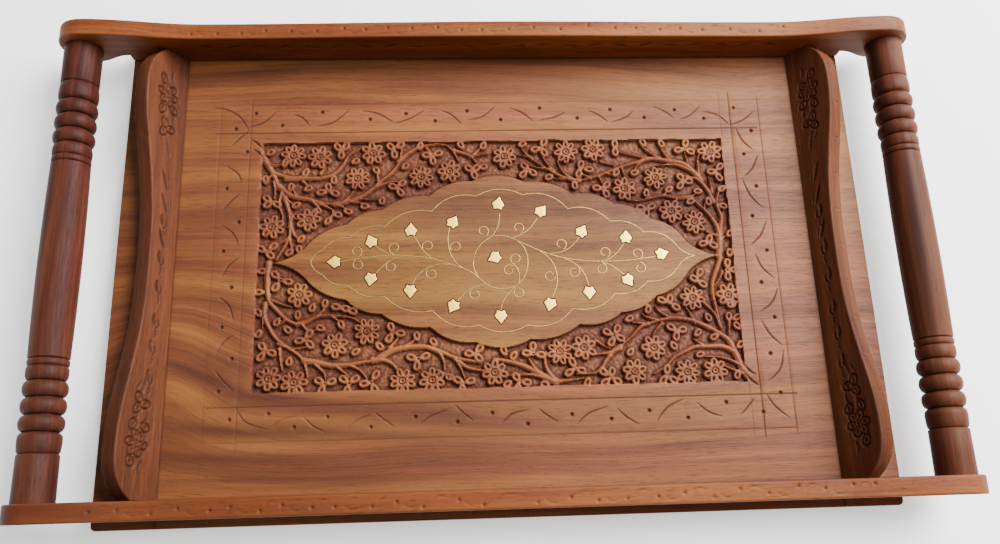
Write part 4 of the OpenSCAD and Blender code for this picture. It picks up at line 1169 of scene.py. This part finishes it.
def make_end_rail(side, name, node):
    """An end rail leaning outwards, with a flower spray near each end of its inner face."""
    spacing = 0.48
    stations = np.linspace(-RAIL_Y, RAIL_Y, int(2 * RAIL_Y / spacing))
    top = end_profile(stations)
    low = 0 * stations

    def spray(c, y, h, way):
        """A flower with stems and a small blossom that trail off towards the middle."""
        turns = np.linspace(0.3, 2 * math.pi + 0.3, 7)[:-1].tolist()
        petals = [(y + 4.4 * math.cos(a), h + 4.0 * math.sin(a), a) for a in turns]
        petals += [(y - way * 9, h + 3.4, 0.4), (y + way * 10, h + 3.2, -0.4), (y + way * 8.5, h - 4.6, 0.8)]
        petals += [(y + way * 21 + 3.2 * math.cos(a), h - 0.5 + 2.9 * math.sin(a), a)
                   for a in (0.4, 2.5, 4.6)]
        away = np.full(c.u.shape, 99.0)
        top = np.full(c.u.shape, -99.0)
        for px, py, a in petals + [(y, h, 0)]:
            long = 1.7 if px == y else 2.6
            dx, dy = c.u - px, c.v - py
            forward, across = dx * math.cos(a) + dy * math.sin(a), dy * math.cos(a) - dx * math.sin(a)
            r = np.hypot(forward / long, across / 1.9)
            away = np.minimum(away, (r - 1) * 2)
            crown = -0.05 - 0.7 * step((0.66 - r) / 0.4) - 0.5 * np.clip((r - 0.75) / 0.25, 0, 1)
            top = np.where(r < 1, np.maximum(top, crown), top)
        ground = -1.1 * step(1.25 - away / 1.1)
        c.height = np.minimum(c.height, np.where(away < 0, top, ground))
        c.gouge([(y + way * 9, h - 2), (y + way * 13, h - 5), (y + way * 17, h - 5)], 2.2, 1.0)
        c.gouge([(y + way * 10, h + 3), (y + way * 14, h + 1), (y + way * 17, h + 2)], 1.8, 0.8)
        c.gouge([(y - way * 9, h - 3), (y - way * 13, h - 2), (y - way * 16, h - 3)], 1.8, 0.8)
        c.gouge([(y + way * 27, h - 1), (y + way * 33, h - 2.5), (y + way * 38, h - 4)], 2.6, 1.0)
        c.gouge([(y + way * 28, h + 3), (y + way * 31, h + 1), (y + way * 33, h)], 1.6, 0.8)

    def face_cut(a, h):
        c = Carving(a, h)
        spray(c, 101, 13, -1)
        spray(c, -101, 15, 1)
        for y in (48, 34, 13):
            z = 9.6 + (0.8 if y > 40 else 0)
            c.gouge([(y + 5.5, z + 2.2), (y, z + 0.4), (y - 5.5, z - 1.8)], 2.6, 1.5)
            c.gouge([(y + 1, z - 2.2), (y - 3, z - 3.2), (y - 5.5, z - 3.4)], 1.2, 0.6)
        for y in (23, 1, -16, -35, -50, -66):
            z = 9.2 + (1.0 if y < -40 else 0)
            c.gouge([(y + 4.5, z + 1), (y + 1, z + 1.6), (y - 2.5, z + 0.4)], 2.6, 1.5)
            c.gouge([(y + 1.5, z - 1.6), (y - 2, z - 1.8), (y - 4, z)], 1.8, 1.1)
            c.gouge([(y - 4.5, z), (y - 7, z - 0.6), (y - 9.5, z + 0.4)], 1.4, 0.8)
        return c.height

    def edge_cut(a, t):
        c = Carving(a, t)
        for i in range(11 if side > 0 else 0):
            y = 108 - 21.5 * i
            c.dot(y + 1.6, 6.6, 0.8, 0.8)
            c.gouge([(y - 2.2, 6.4), (y - 1.2, 4.4), (y + 1.2, 3.8), (y + 2.6, 4.6)], 1.0, 0.4)
        return c.height

    def place(a, h, t):
        x = side * (END_X + h * math.sin(SPLAY) + t * math.cos(SPLAY))
        return np.stack([x, a, BOARD_T + h * math.cos(SPLAY) - t * math.sin(SPLAY)], -1)

    make_plate(name, stations, top, low, END_T, place, face_cut, edge_cut, end_material,
               node, face_rows=60, round_low=False)


# ---------------------------------------------------------------- handles
def bead(a, b, r_low, r_high, steps=15):
    """Profile of a turned bead between two places."""
    t = (1 - np.cos(np.linspace(0, math.pi, steps))) / 2
    return [(a + (b - a) * k, r_low + (r_high - r_low) * (4 * k * (1 - k)) ** 0.5) for k in t.tolist()]


def make_handle(side, name, node):
    """A turned handle: grip, double ring, three beads, cuff and tenon, alike in both halves."""
    r, grip = 10.4, 11.1
    low, high = r - 1.9, r + 0.8
    half = [(y, grip - (grip - r) * (y / 55) ** 2) for y in np.linspace(0, 55, 24)]
    half += [(55.3, r - 0.3), (55.7, r - 0.9), (56.1, r - 0.3), (56.6, r), (58.6, r), (59.2, r - 0.3),
             (59.6, r - 0.9), (60.1, r - 0.3), (60.6, r), (63.5, r + 0.15), (65, r), (66.2, r - 0.4),
             (67, r - 1)]
    half += bead(67.3, 75.9, low, high) + bead(76.3, 85, low, high) + bead(85.4, 94, low, high)
    half += [(94.5, r - 1), (95, r - 0.4), (96, r + 0.2), (98, r + 0.4), (101, r + 0.3), (104, r),
             (104.6, r - 0.4), (105, r - 0.9), (105.4, r - 0.4), (106, r), (118, r + 0.1), (RAIL_Y, r + 0.2)]
    half += [(RAIL_Y, 6), (RAIL_Y + 6, 6), (RAIL_Y + 6, 0.001)]
    line = np.array([(-y, q) for y, q in half[:0:-1]] + half)
    turns = 96
    angle = np.linspace(0, 2 * math.pi, turns, endpoint=False)
    points = np.stack([side * HANDLE_X + line[:, 1:] * np.cos(angle), np.repeat(line[:, :1], turns, 1),
                       HANDLE_Z + line[:, 1:] * np.sin(angle)], -1).reshape(-1, 3)
    faces = []
    for i in range(len(line) - 1):
        for k in range(turns):
            m = (k + 1) % turns
            faces.append((i * turns + k, i * turns + m, (i + 1) * turns + m, (i + 1) * turns + k))
    make_piece(name, points, faces, handle_material, [node], merge=0.01)


# ---------------------------------------------------------------- brass
def make_brass():
    """The leaves and wires of the inlay, and the lac that fills their pockets and grooves."""
    top = BOARD_T + PROUD
    lac_low = BOARD_T - 0.5
    lac_parts = []
    for i in range(len(LEAVES)):
        outline = leaf_outline(i)
        centre = outline.mean(0)
        n = len(outline)
        loops = [(1.0, BOARD_T - LEAF_T), (1.0, top - 0.06), (0.96, top - 0.02), (0.86, top)]
        points = np.vstack([np.column_stack([centre + (outline - centre) * k, np.full(n, z)])
                            for k, z in loops])
        faces = [(j * n + k, j * n + (k + 1) % n, (j + 1) * n + (k + 1) % n, (j + 1) * n + k)
                 for j in range(3) for k in range(n)]
        faces += [tuple(range(n))[::-1], tuple(3 * n + k for k in range(n))]
        leaf = "leaf_%02d" % (i + 1)
        make_piece(leaf, points, faces, leaf_brass, ["brass_" + leaf], sharp=50)
        lac_top = BOARD_T + 0.03
        section = [(-0.7, lac_low), (-0.7, lac_top), (0.2, lac_top), (0.2, lac_low)]
        lac_parts.append(ribbon(outline, section, closed=True))

    half = 0.22
    wire = [(-half, BOARD_T - WIRE_D), (-half, top - 0.05), (-half / 2, top - 0.01),
            (half / 2, top - 0.01), (half, top - 0.05), (half, BOARD_T - WIRE_D)]
    lac_half, lac_top = half + 0.14, BOARD_T + 0.01
    thin = [(-lac_half, lac_low), (-lac_half, lac_top), (lac_half, lac_top), (lac_half, lac_low)]
    groups = [("border_wire", [scallops(BORDER_RIGHT, BORDER_LEFT)], True, "brass_border_wire"),
              ("ring_wire", [catmull(RING, 8)], False, "brass_ring_wire"),
              ("left_vine", [catmull(s, 8) for s in LEFT_STEMS], False, "brass_left_vine_wires"),
              ("right_vine", [catmull(s, 8) for s in RIGHT_STEMS], False, "brass_right_vine_wires"),
              ("left_curls", [curl_line(s) for s in LEFT_CURLS], False, "brass_left_curl_wires"),
              ("right_curls", [curl_line(s) for s in RIGHT_CURLS], False, "brass_right_curl_wires")]
    for name, lines, closed, node in groups:
        points, faces = join([ribbon(line, wire, closed) for line in lines])
        make_piece(name, points, faces, wire_brass, [node], sharp=30)
        lac_parts += [ribbon(line, thin, closed) for line in lines]
    points, faces = join(lac_parts)
    make_piece("lac_fill", points, faces, lac(), [])


# ---------------------------------------------------------------- build
make_board()
make_long_rail(1, "back_rail_carved", "back_rail", BACK_DOTS)
make_long_rail(-1, "front_rail_carved", "front_rail", FRONT_DOTS)
make_end_rail(-1, "left_end_carved", "left_end_rail")
make_end_rail(1, "right_end_carved", "right_end_rail")
make_handle(-1, "left_handle_turned", "left_handle")
make_handle(1, "right_handle_turned", "right_handle")
make_brass()
for node in ("front_rail_screws", "back_rail_screws", "left_end_screws", "right_end_screws"):
    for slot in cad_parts[node].material_slots:
        slot.material = steel


# ---------------------------------------------------------------- stage and light
def make_floor():
    """A wide pale floor just under the board."""
    s = Shader("floor")
    place = s.add("ShaderNodeTexCoord").outputs["Object"]
    cloud = s.noise(place, (6, 6, 6), 3, 0.5)
    s.put(s.bsdf.inputs["Base Color"], s.ramp(cloud, (0.3, grey(0.88)), (0.7, grey(0.91))))
    s.bsdf.inputs["Roughness"].default_value = 0.8
    s.bsdf.inputs["Emission Color"].default_value = (1, 1, 1, 1)
    s.bsdf.inputs["Emission Strength"].default_value = 0.6
    mesh = bpy.data.meshes.new("floor")
    corners = [(x, y, -0.0003) for x, y in ((-4, -4), (4, -4), (4, 4), (-4, 4))]
    mesh.from_pydata(corners, [], [(0, 1, 2, 3)])
    mesh.materials.append(s.material)
    floor = bpy.data.objects.new("floor", mesh)
    bpy.context.scene.collection.objects.link(floor)


def add_light(name, place, aim, size, power):
    """A round softbox that points at a place."""
    data = bpy.data.lights.new(name, "AREA")
    data.shape = "DISK"
    data.size = size
    data.energy = power
    light = bpy.data.objects.new(name, data)
    light.location = place
    light.rotation_euler = (Vector(aim) - Vector(place)).to_track_quat("-Z", "Y").to_euler()
    bpy.context.scene.collection.objects.link(light)


make_floor()
world = bpy.data.worlds.new("studio")
bpy.context.scene.world = world
world.use_nodes = True
world.node_tree.nodes["Background"].inputs[0].default_value = (1, 1, 1, 1)
world.node_tree.nodes["Background"].inputs[1].default_value = 0.60
add_light("key", (0.95, 0.62, 1.1), (0, 0, 0), 1.3, 107)
